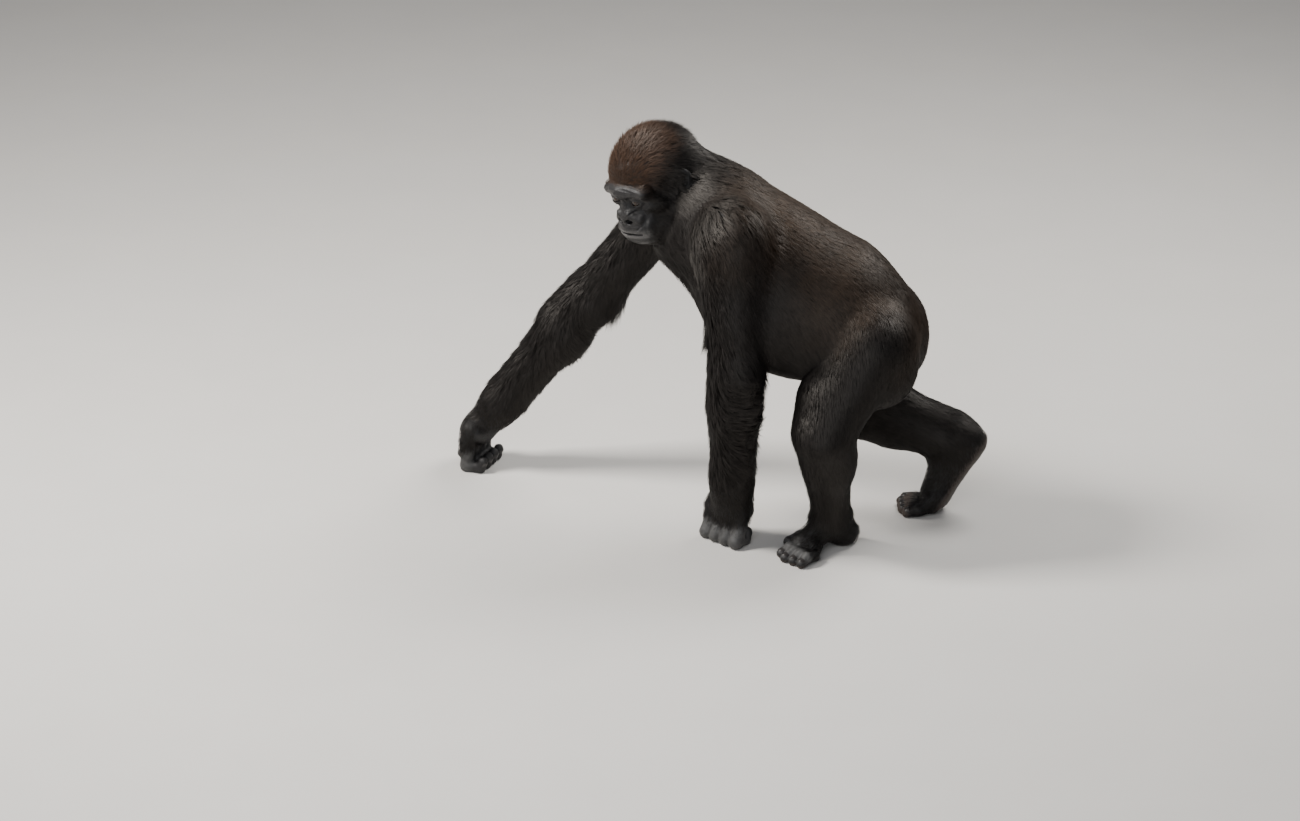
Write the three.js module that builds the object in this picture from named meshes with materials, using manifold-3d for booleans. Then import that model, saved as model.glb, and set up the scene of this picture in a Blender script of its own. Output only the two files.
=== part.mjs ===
// A young gorilla walking on its knuckles, life size, in millimetres, +Z up.
// The animal faces -Y and its left side is +X. The body is one rounded shape, described by how far
// each point of space lies from its surface. That shape is meshed piece by piece, finely on the head,
// hands and feet and coarsely on the trunk, and is then parted at the joints by thin cuts.

import * as THREE from "three";
import Module from "manifold-3d";
import { edgeTable, triTable } from "three/addons/objects/MarchingCubes.js";
import { mergeVertices } from "three/addons/utils/BufferGeometryUtils.js";

const wasm = await Module();
wasm.setup();
const { Manifold, Mesh } = wasm;

// ---------------------------------------------------------------------------
// Driving dimensions
// ---------------------------------------------------------------------------

const GAP = 0.3; // left open between two pieces that touch
const SINK = 1.2; // how far fingers and soles would pass the floor, before the floor cuts them flat

// The head's own frame: its middle, its turn towards the animal's left, the dip of its nose and
// the lift of its left side.
const HEAD_AT = [10, -98, 652];
const HEAD_YAW = 54;
const HEAD_PITCH = 19;
const HEAD_ROLL = 8;

// Joints of the limbs. The left side is the near one: its arm stands and its leg swings through.
const LEFT = {
  side: 1,
  shoulder: [110, 60, 584],
  elbow: [144, 78, 350],
  wrist: [102, 66, 112],
  knuckle: [91, 61, 57],
  handYaw: 58,
  fingerReach: 23,
  armGirth: 1,
  elbowRadius: 44,
  wristRadius: 40,
  hip: [78, 308, 398],
  knee: [150, 238, 248],
  ankle: [87, 245, 62],
  kneeRadius: 50,
  ankleRadius: 33,
  footYaw: 44,
};
const RIGHT = {
  side: -1,
  shoulder: [-112, -104, 556],
  elbow: [-142, -248, 350],
  wrist: [-140, -414, 130],
  knuckle: [-140, -460, 72],
  handYaw: -12,
  fingerReach: 8,
  armGirth: 0.84,
  elbowRadius: 47,
  wristRadius: 41,
  hip: [-74, 302, 376],
  knee: [-124, 258, 190],
  ankle: [-112, 428, 150],
  kneeRadius: 60,
  ankleRadius: 48,
  heel: [-110, 466, 142],
  ball: [-110, 402, 34],
  toeEnd: [-110, 338, 9],
};

const EYE = { side: 27, forward: 63, up: -8, radius: 12.5, lid: 2.4 };
const FISSURE = { forward: 75, radii: [11.5, 10, 4] };
const FACE = { below: -25, share: 0.86 }; // below this height the face is shortened to its share
const NOSTRIL = { at: [11, 88, -40.5], radii: [6.8, 10, 4.8] };
const MOUTH = { at: [0, 68, -63.7], radii: [35, 33, 3.9], droop: 4.3 };
const EAR = { at: [74, -10, -2], turn: 25, radii: [6, 15, 21], root: 64, seat: 25, box: 36 };

// Fingers thin and their knuckles drop with each step away from the longest one. The middle bones
// lie back along the floor, and the tips rise again.
const FINGER = { count: 4, spacing: 22.5, radius: 13.4, longest: 1.4, thinning: 0.6, drop: 3 };
const FINGER_BEND = { middle: 26, tip: 6, tipHeight: 22 };
const THUMB = { root: [27, 2, 78], joint: [41, 10, 58], tip: [42, 14, 36] };
const TOE = { count: 4, spacing: 16, radius: 11, root: [-8, 62, 14], reach: 106, bend: 0.55 };
const FLAT_BIG_TOE = { root: [14, 14, 20], joint: [38, 44, 13], tip: [42, 64, 10 - SINK] };
const PUSHING_BIG_TOE = { root: [16, 10, 38], joint: [40, -24, 15], tip: [42, -44, 10 - SINK] };

// The planes of the thin cuts: a point on each and the way it faces.
const UNDER_SKULL = { at: [0, -42, 580], facing: [0.45, -0.85, 0.272] };
const UNDER_JAW = { at: [0, -42, 580], facing: [0, -0.819, 0.574] };
const NECK_ROOT = { at: [0, 5, 600], facing: [0, -0.819, 0.574] };
const RIBS_END = { at: [0, 118, 480], facing: [0, -0.91, 0.41] };
const LOINS = { at: [0, 222, 430], facing: [0, -0.93, 0.37] };

const COAT = new THREE.Color(0.035, 0.03, 0.028);
const BACK_COAT = new THREE.Color(0.06, 0.047, 0.038);
const BARE_SKIN = new THREE.Color(0.05, 0.048, 0.05);
const EYE_BROWN = new THREE.Color(0.045, 0.022, 0.012);

// ---------------------------------------------------------------------------
// Vectors and frames, as plain arrays of three numbers
// ---------------------------------------------------------------------------

const add = (a, b) => [a[0] + b[0], a[1] + b[1], a[2] + b[2]];
const minus = (a, b) => [a[0] - b[0], a[1] - b[1], a[2] - b[2]];
const times = (a, k) => [a[0] * k, a[1] * k, a[2] * k];
const dot = (a, b) => a[0] * b[0] + a[1] * b[1] + a[2] * b[2];
const unit = (a) => times(a, 1 / Math.hypot(...a));
const between = (a, b, t) => add(a, times(minus(b, a), t));

// A frame has an origin and three axes: to the side, forward and up. It turns by yaw about the
// vertical, towards +X, dips its forward axis by pitch and lifts its side axis by roll.
function frame(origin, yaw, pitch = 0, roll = 0) {
  const [y, p, r] = [yaw, pitch, roll].map((angle) => THREE.MathUtils.degToRad(angle));
  const level = [Math.sin(y), -Math.cos(y), 0];
  const across = [Math.cos(y), Math.sin(y), 0];
  const above = [level[0] * Math.sin(p), level[1] * Math.sin(p), Math.cos(p)];
  const forward = [level[0] * Math.cos(p), level[1] * Math.cos(p), -Math.sin(p)];
  const side = add(times(across, Math.cos(r)), times(above, Math.sin(r)));
  const up = minus(times(above, Math.cos(r)), times(across, Math.sin(r)));
  return { origin, side, forward, up };
}

function toWorld(f, [s, w, u]) {
  return f.origin.map((o, i) => o + s * f.side[i] + w * f.forward[i] + u * f.up[i]);
}

function toLocal(f, point) {
  const d = minus(point, f.origin);
  return [dot(d, f.side), dot(d, f.forward), dot(d, f.up)];
}

const headFrame = frame(HEAD_AT, HEAD_YAW, HEAD_PITCH, HEAD_ROLL);
const onHead = (side, forward, up) => toWorld(headFrame, [side, forward, up]);

// ---------------------------------------------------------------------------
// Rounded shapes: each is a function of x, y, z that gives the distance to its surface,
// below zero inside
// ---------------------------------------------------------------------------

// A rounded cone from a to b.
function bone(a, b, radiusA, radiusB) {
  const [dx, dy, dz] = minus(b, a);
  const length2 = dx * dx + dy * dy + dz * dz;
  const slope = radiusB - radiusA;
  return (x, y, z) => {
    const [px, py, pz] = [x - a[0], y - a[1], z - a[2]];
    const t = Math.min(1, Math.max(0, (px * dx + py * dy + pz * dz) / length2));
    return Math.hypot(px - t * dx, py - t * dy, pz - t * dz) - radiusA - slope * t;
  };
}

// An ellipsoid with its radii along X, Y and Z.
function egg([cx, cy, cz], [rx, ry, rz]) {
  return (x, y, z) => {
    const [ux, uy, uz] = [(x - cx) / rx, (y - cy) / ry, (z - cz) / rz];
    const k0 = Math.hypot(ux, uy, uz);
    const k1 = Math.hypot(ux / rx, uy / ry, uz / rz);
    return (k0 * (k0 - 1)) / Math.max(k1, 1e-9);
  };
}

// The lesser of two distances, rounded where they are within k of each other.
function softMin(a, b, k) {
  const h = Math.max(k - Math.abs(a - b), 0) / k;
  return Math.min(a, b) - (h * h * k) / 4;
}

// Joins shapes one after another. Each entry after the first is [shape, width of its fillet].
function blend(first, ...rest) {
  return (x, y, z) =>
    rest.reduce((d, [shape, k]) => softMin(d, shape(x, y, z), k), first(x, y, z));
}

// Cuts a shape out of another, with a rounded rim.
function carve(shape, tool, k) {
  return (x, y, z) => -softMin(-shape(x, y, z), tool(x, y, z), k);
}

// Places a shape that is described in a frame of its own.
function placed(f, shape) {
  const [ox, oy, oz] = f.origin;
  const [s, w, u] = [f.side, f.forward, f.up];
  return (x, y, z) => {
    const [px, py, pz] = [x - ox, y - oy, z - oz];
    return shape(
      px * s[0] + py * s[1] + pz * s[2],
      px * w[0] + py * w[1] + pz * w[2],
      px * u[0] + py * u[1] + pz * u[2],
    );
  };
}

// Makes a shape the same on both sides, with no crease in the middle.
function mirrored(shape) {
  return (x, y, z) => shape(Math.sqrt(x * x + 4), y, z);
}

// Shortens the face below the eyes.
function shortened(shape) {
  const { below, share } = FACE;
  return (x, y, z) => shape(x, y, z < below ? below + (z - below) / share : z);
}

// ---------------------------------------------------------------------------
// The body's shapes
// ---------------------------------------------------------------------------

// The slope of muscle from the nape down to a shoulder.
const yoke = (side, at) => [bone([side * 34, 24, 606], [at[0] - side * 22, at[1], at[2] + 6], 52, 50), 40];

const buttock = (side) => [egg([side * 56, 310, 346], [62, 79, 84]), 40];

const trunk = blend(
  bone([0, 112, 474], [0, 225, 424], 124, 124), // ribs and belly
  [bone([0, 225, 424], [0, 285, 394], 122, 98), 40], // loins and rump
  [bone([0, -20, 556], [0, 100, 500], 84, 110), 60], // breast
  [egg([0, 45, 582], [96, 88, 62]), 50], // the hump over the shoulder blades
  [egg([0, 135, 434], [132, 126, 126]), 60], // the round gut
  buttock(1),
  buttock(-1),
  yoke(1, LEFT.shoulder),
  yoke(-1, RIGHT.shoulder),
);

const neck = blend(bone(onHead(0, -40, -8), [0, 20, 588], 63, 78), [
  bone(onHead(0, -20, -50), [0, 0, 550], 48, 64),
  40,
]);

const head = placed(
  headFrame,
  shortened(
    mirrored(
      blend(
        carve(
          blend(
            egg([0, -8, 22], [70, 84, 66]), // skull
            [egg([0, 30, -28], [50, 44, 48]), 25], // middle of the face
            [bone([0, 76, 13], [45, 61, 9], 13, 12), 10], // brow ridge
            [bone([45, 60, 7], [51, 45, -13], 10, 8), 10], // outer rim of the eye socket
            [egg([46, 43, -24], [16, 20, 12]), 14], // cheekbone
            [bone([0, 30, -44], [0, 56, -65], 45, 38), 20], // muzzle
            [egg([26, 54, -64], [20, 26, 20]), 16], // side of the muzzle
            [bone([32, 0, -58], [15, 58, -84], 30, 25), 20], // lower jaw
            [egg([0, 66, -98], [18, 14, 13]), 12], // chin
            [bone([0, 64, 0], [0, 78, -30], 8, 9), 12], // bridge of the nose
            [egg([0, 84, -38], [10, 9, 10]), 8], // tip of the nose
            [bone([12, 83, -30], [23, 74, -43], 8, 11), 6], // wing of the nose
            [bone([22, 75, -45], [8, 84, -53], 9, 6.5), 5], // rim below the nostril
            [bone([0, 88, -62], [20, 80, -64], 8, 7), 8], // upper lip
            [bone([20, 80, -64], [35, 56, -73], 7, 4), 8],
            [bone([0, 83, -80], [17, 76, -80], 8, 7), 8], // lower lip
            [bone([17, 76, -80], [34, 54, -77], 7, 4), 8],
          ),
          egg([EYE.side, 80, -7], [17, 15, 10]),
          8,
        ),
        [egg([EYE.side, EYE.forward, EYE.up], Array(3).fill(EYE.radius + EYE.lid)), 5], // lids
      ),
    ),
  ),
);

// The ear lies in a frame turned so that its hind edge stands away from the head.
function earShape(side) {
  const turn = THREE.MathUtils.degToRad(EAR.turn);
  const [c, s] = [Math.cos(turn), Math.sin(turn)];
  const cup = carve(egg([0, 0, 0], EAR.radii), egg([5.5, 2, 1], [6, 9.5, 14.5]), 2);
  const shape = blend(
    cup,
    [egg([3, 10, -3], [4, 3.5, 5]), 3], // the flap in front of the canal
    [bone([1, -5, -8], [1, -4, 9], 2.2, 2.2), 3], // the inner ridge
    [egg([1, 3, -18], [4, 7, 6]), 4], // lobe
  );
  return placed(headFrame, (x, y, z) => {
    const [px, py, pz] = [x * side - EAR.at[0], y - EAR.at[1], z - EAR.at[2]];
    return shape(px * c + py * s, -px * s + py * c, pz);
  });
}

function arm({ side, shoulder, elbow, wrist, armGirth, elbowRadius, wristRadius }) {
  const swelling = [elbowRadius - 3, elbowRadius, 62];
  return blend(
    egg(add(shoulder, [side * -4, 0, -8]), times([62, 66, 78], armGirth)),
    [bone(add(shoulder, [side * 2, 0, -20]), elbow, 60 * armGirth, elbowRadius - 1), 30],
    [bone(elbow, wrist, elbowRadius, wristRadius), 25],
    [egg(between(elbow, wrist, 0.28), swelling), 30],
  );
}

function leg({ hip, knee, ankle, kneeRadius, ankleRadius }) {
  const calf = add(between(knee, ankle, 0.3), [0, 8, 0]);
  const front = add(between(hip, knee, 0.66), [2, -26, 0]);
  return blend(
    bone(hip, knee, 76, 52),
    [egg(front, [46, 50, 62]), 30],
    [bone(knee, ankle, kneeRadius, ankleRadius), 25],
    [egg(calf, [43, 46, 60]), 25],
  );
}

// The hand stands on the backs of its bent fingers. Each finger goes forward and down from its
// knuckle, back along the floor and up to its tip. The thumb hangs on the inner side.
function hand({ side, wrist, knuckle, handYaw, fingerReach }) {
  const f = frame([knuckle[0], knuckle[1], 0], handYaw);
  const top = knuckle[2];
  const across = FINGER.spacing * 1.08;
  const parts = [[bone([-across, 0, top + 6], [across, 0, top + 6], 25, 25), 14]];
  for (let i = 0; i < FINGER.count; i++) {
    const x = (i - (FINGER.count - 1) / 2) * FINGER.spacing;
    const off = Math.abs(i - FINGER.longest);
    const r = FINGER.radius - off * FINGER.thinning;
    const bend = [x * 1.05, fingerReach, r - SINK];
    const back = [x, fingerReach - FINGER_BEND.middle, r - 2 - SINK];
    const tip = [x, back[1] - FINGER_BEND.tip, FINGER_BEND.tipHeight];
    parts.push([bone([x, 4, top - off * FINGER.drop], bend, r + 1.5, r), 7]);
    parts.push([bone(bend, back, r, r - 2), 5]);
    parts.push([bone(back, tip, r - 2, r - 3.5), 4]);
  }
  const [root, joint, tip] = onInnerSide(THUMB, side);
  parts.push([bone(root, joint, 16, 11.5), 10]);
  parts.push([bone(joint, tip, 11, 8.5), 5]);
  return placed(f, blend(bone(toLocal(f, wrist), [0, 0, top], 34, 31), ...parts));
}

// The root, joint and tip of a thumb or big toe, whose first number counts towards the body.
function onInnerSide(digit, side) {
  return [digit.root, digit.joint, digit.tip].map(([inward, y, z]) => [-side * inward, y, z]);
}

// The near foot lies flat with its toes turned out and its big toe set apart on the inner side.
function flatFoot({ side, ankle, footYaw }) {
  const f = frame([ankle[0], ankle[1], 0], footYaw);
  const parts = [
    [bone([0, 0, 52], [0, 56, 24], 30, 22), 20], // instep
    [bone([-18, 52, 18], [20, 52, 18], 17, 15), 15], // ball
  ];
  for (let i = 0; i < TOE.count; i++) {
    const root = add(TOE.root, [i * TOE.spacing, 0, 0]);
    const tip = [root[0] * 1.15, TOE.reach - Math.abs(i - 1) * 5, TOE.radius - 2 - SINK];
    const middle = add(between(root, tip, TOE.bend), [0, 0, 4.5]);
    parts.push([bone(root, middle, TOE.radius, TOE.radius - 1), 6]);
    parts.push([bone(middle, tip, TOE.radius - 1, TOE.radius - 2), 4]);
  }
  const [root, joint, tip] = onInnerSide(FLAT_BIG_TOE, side);
  parts.push([bone(root, joint, 16, 12), 10]);
  parts.push([bone(joint, tip, 12, 10), 5]);
  return placed(f, blend(egg([0, -26, 24], [27, 32, 26]), ...parts));
}

// The far foot pushes off: its heel is up and its toes are bent on the floor.
function pushingFoot({ side, ankle, heel, ball, toeEnd }) {
  const parts = [
    [bone(ankle, ball, 32, 25), 15],
    [bone(add(ball, [-16, 0, -4]), add(ball, [16, 0, -4]), 20, 20), 12],
  ];
  for (let i = 0; i < TOE.count; i++) {
    const out = (i - 1.5) * TOE.spacing;
    const root = add(ball, [out, -4, -18]);
    const tip = add(toeEnd, [out * 1.1, Math.abs(i - 1) * 4, -SINK]);
    parts.push([bone(root, tip, 14, 9), 6]);
  }
  const below = [ball[0], ball[1], 0];
  const [root, joint, tip] = onInnerSide(PUSHING_BIG_TOE, side).map((point) => add(below, point));
  parts.push([bone(root, joint, 17, 12), 10]);
  parts.push([bone(joint, tip, 12, 10), 5]);
  return blend(bone(heel, ball, 28, 26), ...parts);
}

const limbs = {
  arm_left: arm(LEFT),
  arm_right: arm(RIGHT),
  leg_left: leg(LEFT),
  leg_right: leg(RIGHT),
};
const ends = {
  hand_left: hand(LEFT),
  hand_right: hand(RIGHT),
  foot_left: flatFoot(LEFT),
  foot_right: pushingFoot(RIGHT),
};

const FILLET = { neck: 40, arm: 28, leg: 26, head: 22, end: 24 };
const torsoAlone = blend(trunk, [neck, FILLET.neck]);
const whole = blend(
  torsoAlone,
  [limbs.arm_left, FILLET.arm],
  [limbs.arm_right, FILLET.arm],
  [limbs.leg_left, FILLET.leg],
  [limbs.leg_right, FILLET.leg],
  [head, FILLET.head],
  ...Object.values(ends).map((shape) => [shape, FILLET.end]),
);

// What a limb's own territory is measured against: all the rest that it could touch.
const middle = (x, y, z) => Math.min(torsoAlone(x, y, z), head(x, y, z));

// ---------------------------------------------------------------------------
// Meshing: marching cubes, then quadric edge collapse
// ---------------------------------------------------------------------------

const CORNERS = [
  [0, 0, 0],
  [1, 0, 0],
  [1, 1, 0],
  [0, 1, 0],
  [0, 0, 1],
  [1, 0, 1],
  [1, 1, 1],
  [0, 1, 1],
];
const EDGES = [
  [0, 1],
  [1, 2],
  [3, 2],
  [0, 3],
  [4, 5],
  [5, 6],
  [7, 6],
  [4, 7],
  [0, 4],
  [1, 5],
  [2, 6],
  [3, 7],
];
const NEAR_ZERO = 1e-2; // values this close to the surface are moved off it, so no triangle is tiny

// Samples a shape in a box of cells and returns its surface as points and faces. The box's own
// walls close it where the shape reaches past them.
function polygonise(shape, low, high, cell) {
  const counts = low.map((c, i) => Math.ceil((high[i] - c) / cell) + 1);
  const [nx, ny, nz] = counts;
  const index = (i, j, k) => i + nx * (j + ny * k);
  const values = new Float64Array(nx * ny * nz);
  for (let k = 0; k < nz; k++) {
    for (let j = 0; j < ny; j++) {
      for (let i = 0; i < nx; i++) {
        const wall = !(i && j && k) || i === nx - 1 || j === ny - 1 || k === nz - 1;
        let d = shape(low[0] + i * cell, low[1] + j * cell, low[2] + k * cell);
        if (wall) d = Math.max(d, cell / 2);
        if (Math.abs(d) < NEAR_ZERO * cell) d = d < 0 ? -NEAR_ZERO * cell : NEAR_ZERO * cell;
        values[index(i, j, k)] = d;
      }
    }
  }
  const points = [];
  const faces = [];
  const known = new Map();
  const pointOn = (i, j, k, edge) => {
    const [a, b] = EDGES[edge].map((c) => add([i, j, k], CORNERS[c]));
    const axis = [0, 1, 2].find((n) => a[n] !== b[n]);
    const key = index(...a) * 3 + axis;
    if (!known.has(key)) {
      const [da, db] = [values[index(...a)], values[index(...b)]];
      known.set(key, points.length);
      points.push(add(low, times(between(a, b, da / (da - db)), cell)));
    }
    return known.get(key);
  };
  for (let k = 0; k + 1 < nz; k++) {
    for (let j = 0; j + 1 < ny; j++) {
      for (let i = 0; i + 1 < nx; i++) {
        let pattern = 0;
        CORNERS.forEach((c, n) => {
          if (values[index(i + c[0], j + c[1], k + c[2])] < 0) pattern |= 1 << n;
        });
        if (!edgeTable[pattern]) continue;
        for (let t = pattern * 16; triTable[t] !== -1; t += 3) {
          faces.push([0, 2, 1].map((n) => pointOn(i, j, k, triTable[t + n])));
        }
      }
    }
  }
  return { points, faces };
}

// The ten numbers of a quadric: the squared distance to a plane, weighted by area, as a sum.
function planeQuadric([a, b, c], d, weight) {
  return [a * a, a * b, a * c, a * d, b * b, b * c, b * d, c * c, c * d, d * d].map(
    (n) => n * weight,
  );
}

function quadricError(q, [x, y, z]) {
  return (
    q[0] * x * x +
    2 * q[1] * x * y +
    2 * q[2] * x * z +
    2 * q[3] * x +
    q[4] * y * y +
    2 * q[5] * y * z +
    2 * q[6] * y +
    q[7] * z * z +
    2 * q[8] * z +
    q[9]
  );
}

// The point where a quadric is least, or null where its planes hardly cross.
function quadricLow(q) {
  const [a, b, c, d, e, f] = [q[0], q[1], q[2], q[4], q[5], q[7]];
  const det = a * (d * f - e * e) - b * (b * f - c * e) + c * (b * e - c * d);
  const size = a + d + f;
  if (Math.abs(det) < 1e-4 * size * size * size) return null;
  const [u, v, w] = [-q[3], -q[6], -q[8]];
  return [
    (u * (d * f - e * e) - b * (v * f - e * w) + c * (v * e - d * w)) / det,
    (a * (v * f - e * w) - u * (b * f - c * e) + c * (b * w - v * c)) / det,
    (a * (d * w - v * e) - b * (b * w - v * c) + u * (b * e - c * d)) / det,
  ];
}

// A binary heap of edges, least cost first.
class Heap {
  items = [];
  push(item) {
    const { items } = this;
    let n = items.push(item) - 1;
    while (n) {
      const parent = (n - 1) >> 1;
      if (items[parent].cost <= item.cost) break;
      items[n] = items[parent];
      n = parent;
    }
    items[n] = item;
  }
  pop() {
    const { items } = this;
    const top = items[0];
    const last = items.pop();
    if (!items.length) return top;
    let n = 0;
    for (;;) {
      let child = 2 * n + 1;
      if (child >= items.length) break;
      if (child + 1 < items.length && items[child + 1].cost < items[child].cost) child++;
      if (items[child].cost >= last.cost) break;
      items[n] = items[child];
      n = child;
    }
    items[n] = last;
    return top;
  }
}

function faceNormal(a, b, c) {
  const [u, v] = [minus(b, a), minus(c, a)];
  return [u[1] * v[2] - u[2] * v[1], u[2] * v[0] - u[0] * v[2], u[0] * v[1] - u[1] * v[0]];
}

// The side of the cells that each part is sampled in, and about how many faces are kept.
const MESHING = {
  territory: { cell: 16, faces: 300 },
  trunk: { cell: 10, faces: 2200 },
  limb: { cell: 8, faces: 900 },
  handOrFoot: { cell: 4, faces: 850 },
  head: { cell: 3, faces: 3700 },
  ear: { cell: 1.8, faces: 600 },
};

const LEAST_TURN = 0.3; // the cosine of the most that a face may turn when an edge goes
const EVENNESS = 4e-6; // how much a long new edge costs, against its error

// Takes edges away, the least missed first, until about target faces are left.
function thinned({ points, faces }, target) {
  const quadrics = points.map(() => new Array(10).fill(0));
  const around = points.map(() => new Set());
  const changes = new Uint32Array(points.length);
  faces.forEach((face, n) => {
    const [a, b, c] = face.map((p) => points[p]);
    const normal = faceNormal(a, b, c);
    const area = Math.hypot(...normal);
    const direction = times(normal, 1 / area);
    const q = planeQuadric(direction, -dot(direction, a), area);
    for (const p of face) {
      around[p].add(n);
      q.forEach((value, i) => (quadrics[p][i] += value));
    }
  });
  const neighbours = (p) => {
    const found = new Set();
    for (const n of around[p]) faces[n].forEach((other) => found.add(other));
    found.delete(p);
    return found;
  };
  const heap = new Heap();
  const offer = (a, b) => {
    const q = quadrics[a].map((value, i) => value + quadrics[b][i]);
    const half = between(points[a], points[b], 0.5);
    const reach = Math.hypot(...minus(points[a], points[b]));
    let at = quadricLow(q);
    if (!at || Math.hypot(...minus(at, half)) > reach) at = half;
    const cost = quadricError(q, at) + EVENNESS * reach ** 4;
    heap.push({ cost, a, b, at, q, stamp: changes[a] + changes[b] });
  };
  points.forEach((_, p) => neighbours(p).forEach((other) => other > p && offer(p, other)));
  const keepsShape = (moved, gone, at) => {
    for (const n of around[moved]) {
      if (faces[n].includes(gone)) continue;
      const before = faceNormal(...faces[n].map((p) => points[p]));
      const after = faceNormal(...faces[n].map((p) => (p === moved ? at : points[p])));
      const sizes = Math.hypot(...before) * Math.hypot(...after);
      if (dot(before, after) < LEAST_TURN * sizes || sizes < 1e-12) return false;
    }
    return true;
  };
  let left = faces.length;
  while (left > target && heap.items.length) {
    const { a, b, at, q, stamp } = heap.pop();
    if (!around[a].size || !around[b].size || stamp !== changes[a] + changes[b]) continue;
    const [na, nb] = [neighbours(a), neighbours(b)];
    if (!na.has(b)) continue;
    const shared = [...na].filter((p) => nb.has(p));
    if (shared.length !== 2 || !keepsShape(a, b, at) || !keepsShape(b, a, at)) continue;
    for (const n of [...around[b]]) {
      if (faces[n].includes(a)) {
        faces[n].forEach((p) => around[p].delete(n));
        faces[n] = null;
        left--;
      } else {
        faces[n] = faces[n].map((p) => (p === b ? a : p));
        around[a].add(n);
      }
    }
    around[b].clear();
    points[a] = at;
    quadrics[a] = q;
    changes[a] = changes[a] + changes[b] + 1;
    neighbours(a).forEach((p) => offer(a, p));
  }
  return { points, faces: faces.filter(Boolean) };
}

// ---------------------------------------------------------------------------
// Solids
// ---------------------------------------------------------------------------

function solidFrom({ points, faces }) {
  const numbers = new Map();
  const used = [];
  const triVerts = new Uint32Array(faces.length * 3);
  faces.flat().forEach((p, n) => {
    if (!numbers.has(p)) {
      numbers.set(p, numbers.size);
      used.push(...points[p]);
    }
    triVerts[n] = numbers.get(p);
  });
  const vertProperties = new Float32Array(used);
  return new Manifold(new Mesh({ numProp: 3, vertProperties, triVerts }));
}

function solidFromGeometry(geometry) {
  const bare = geometry.clone();
  bare.deleteAttribute("normal");
  bare.deleteAttribute("uv");
  const merged = mergeVertices(bare, 1e-4);
  const vertProperties = new Float32Array(merged.attributes.position.array);
  const triVerts = new Uint32Array(merged.index.array);
  return new Manifold(new Mesh({ numProp: 3, vertProperties, triVerts }));
}

// The piece of a solid that holds a point, and nothing else of it.
function pieceAt(solid, point) {
  const probe = solidFromGeometry(new THREE.BoxGeometry(2, 2, 2).translate(...point));
  return solid.decompose().find((piece) => piece.intersect(probe).volume() > 0);
}

// The side of a plane that it faces, starting half a gap off the plane.
function ahead(solid, { at, facing }, gap = GAP / 2) {
  const n = unit(facing);
  return solid.trimByPlane(n, dot(n, at) + gap);
}

function behind(solid, plane) {
  return ahead(solid, { at: plane.at, facing: times(plane.facing, -1) });
}

// Meshes part of the body. The floor cuts flat what would pass it.
function region(shape, { low, high }, { cell, faces }) {
  const solid = solidFrom(thinned(polygonise(shape, low, high, cell), faces));
  return solid.trimByPlane([0, 0, 1], 0);
}

// All the space nearer to a limb than to the rest of the body, grown or shrunk by an offset.
function territory(limb, { low, high }, offset) {
  const shape = (x, y, z) => limb(x, y, z) - middle(x, y, z);
  const { cell, faces } = MESHING.territory;
  const mesh = thinned(polygonise(shape, low, high, cell), faces);
  const normals = mesh.points.map(() => [0, 0, 0]);
  for (const face of mesh.faces) {
    const normal = faceNormal(...face.map((p) => mesh.points[p]));
    for (const p of face) normals[p] = add(normals[p], normal);
  }
  mesh.points = mesh.points.map((p, n) =>
    Math.hypot(...normals[n]) > 0 ? add(p, times(unit(normals[n]), offset)) : p,
  );
  return solidFrom(mesh);
}

// An ellipsoid on the head, placed and turned with the head's frame, its sides lowered by droop.
// Forward, side and up, in that order, are a right-handed set of axes.
const { forward, side, up } = headFrame;
const headTurn = new THREE.Matrix4()
  .makeBasis(...[forward, side, up].map((axis) => new THREE.Vector3(...axis)))
  .setPosition(...HEAD_AT);

function onHeadEllipsoid([s, w, u], [sideRadius, forwardRadius, upRadius], sectors, rings, droop = 0) {
  const ball = new THREE.SphereGeometry(1, sectors, rings);
  ball.scale(forwardRadius, sideRadius, upRadius);
  const { position } = ball.attributes;
  for (let n = 0; n < position.count; n++) {
    position.setZ(n, position.getZ(n) - droop * (position.getY(n) / sideRadius) ** 2);
  }
  return solidFromGeometry(ball.translate(w, s, u).applyMatrix4(headTurn));
}

// The round plug of skin that carries an ear: its end lies a little under the skin.
function earPlug(side, grown) {
  const depth = EAR.at[0] - EAR.root + grown;
  const plug = new THREE.CylinderGeometry(EAR.seat + grown, EAR.seat + grown, 60 + depth, 24);
  plug.translate(EAR.at[1], side * (EAR.at[0] + 30 - depth / 2), EAR.at[2]).applyMatrix4(headTurn);
  return solidFromGeometry(plug);
}

// ---------------------------------------------------------------------------
// The pieces
// ---------------------------------------------------------------------------

// The space that each part is meshed in.
const SPACE = {
  torso: { low: [-190, -150, 230], high: [190, 430, 720] },
  head: { low: [-90, -225, 490], high: [130, 10, 765] },
  arm_left: { low: [20, -80, 60], high: [240, 210, 720] },
  arm_right: { low: [-250, -520, 60], high: [-10, 20, 680] },
  leg_left: { low: [-10, 120, 40], high: [240, 440, 560] },
  leg_right: { low: [-240, 120, 60], high: [10, 520, 560] },
  foot_left: { low: [30, 130, -6], high: [240, 320, 110] },
  foot_right: { low: [-190, 310, -6], high: [-30, 520, 210] },
};

const solids = {};

const reach = Object.fromEntries(
  Object.entries(limbs).map(([name, limb]) => [
    name,
    {
      taken: territory(limb, SPACE[name], GAP / 2),
      own: territory(limb, SPACE[name], -GAP / 2),
    },
  ]),
);

function withoutLimbs(solid) {
  return Object.values(reach).reduce((left, { taken }) => left.subtract(taken), solid);
}

// The head's share of space: in front of the skull's hind plane and of the plane behind the jaw.
function headSpace(gap) {
  const block = solidFromGeometry(new THREE.BoxGeometry(400, 500, 500).translate(0, -150, 650));
  return ahead(ahead(block, UNDER_SKULL, gap), UNDER_JAW, gap);
}

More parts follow.
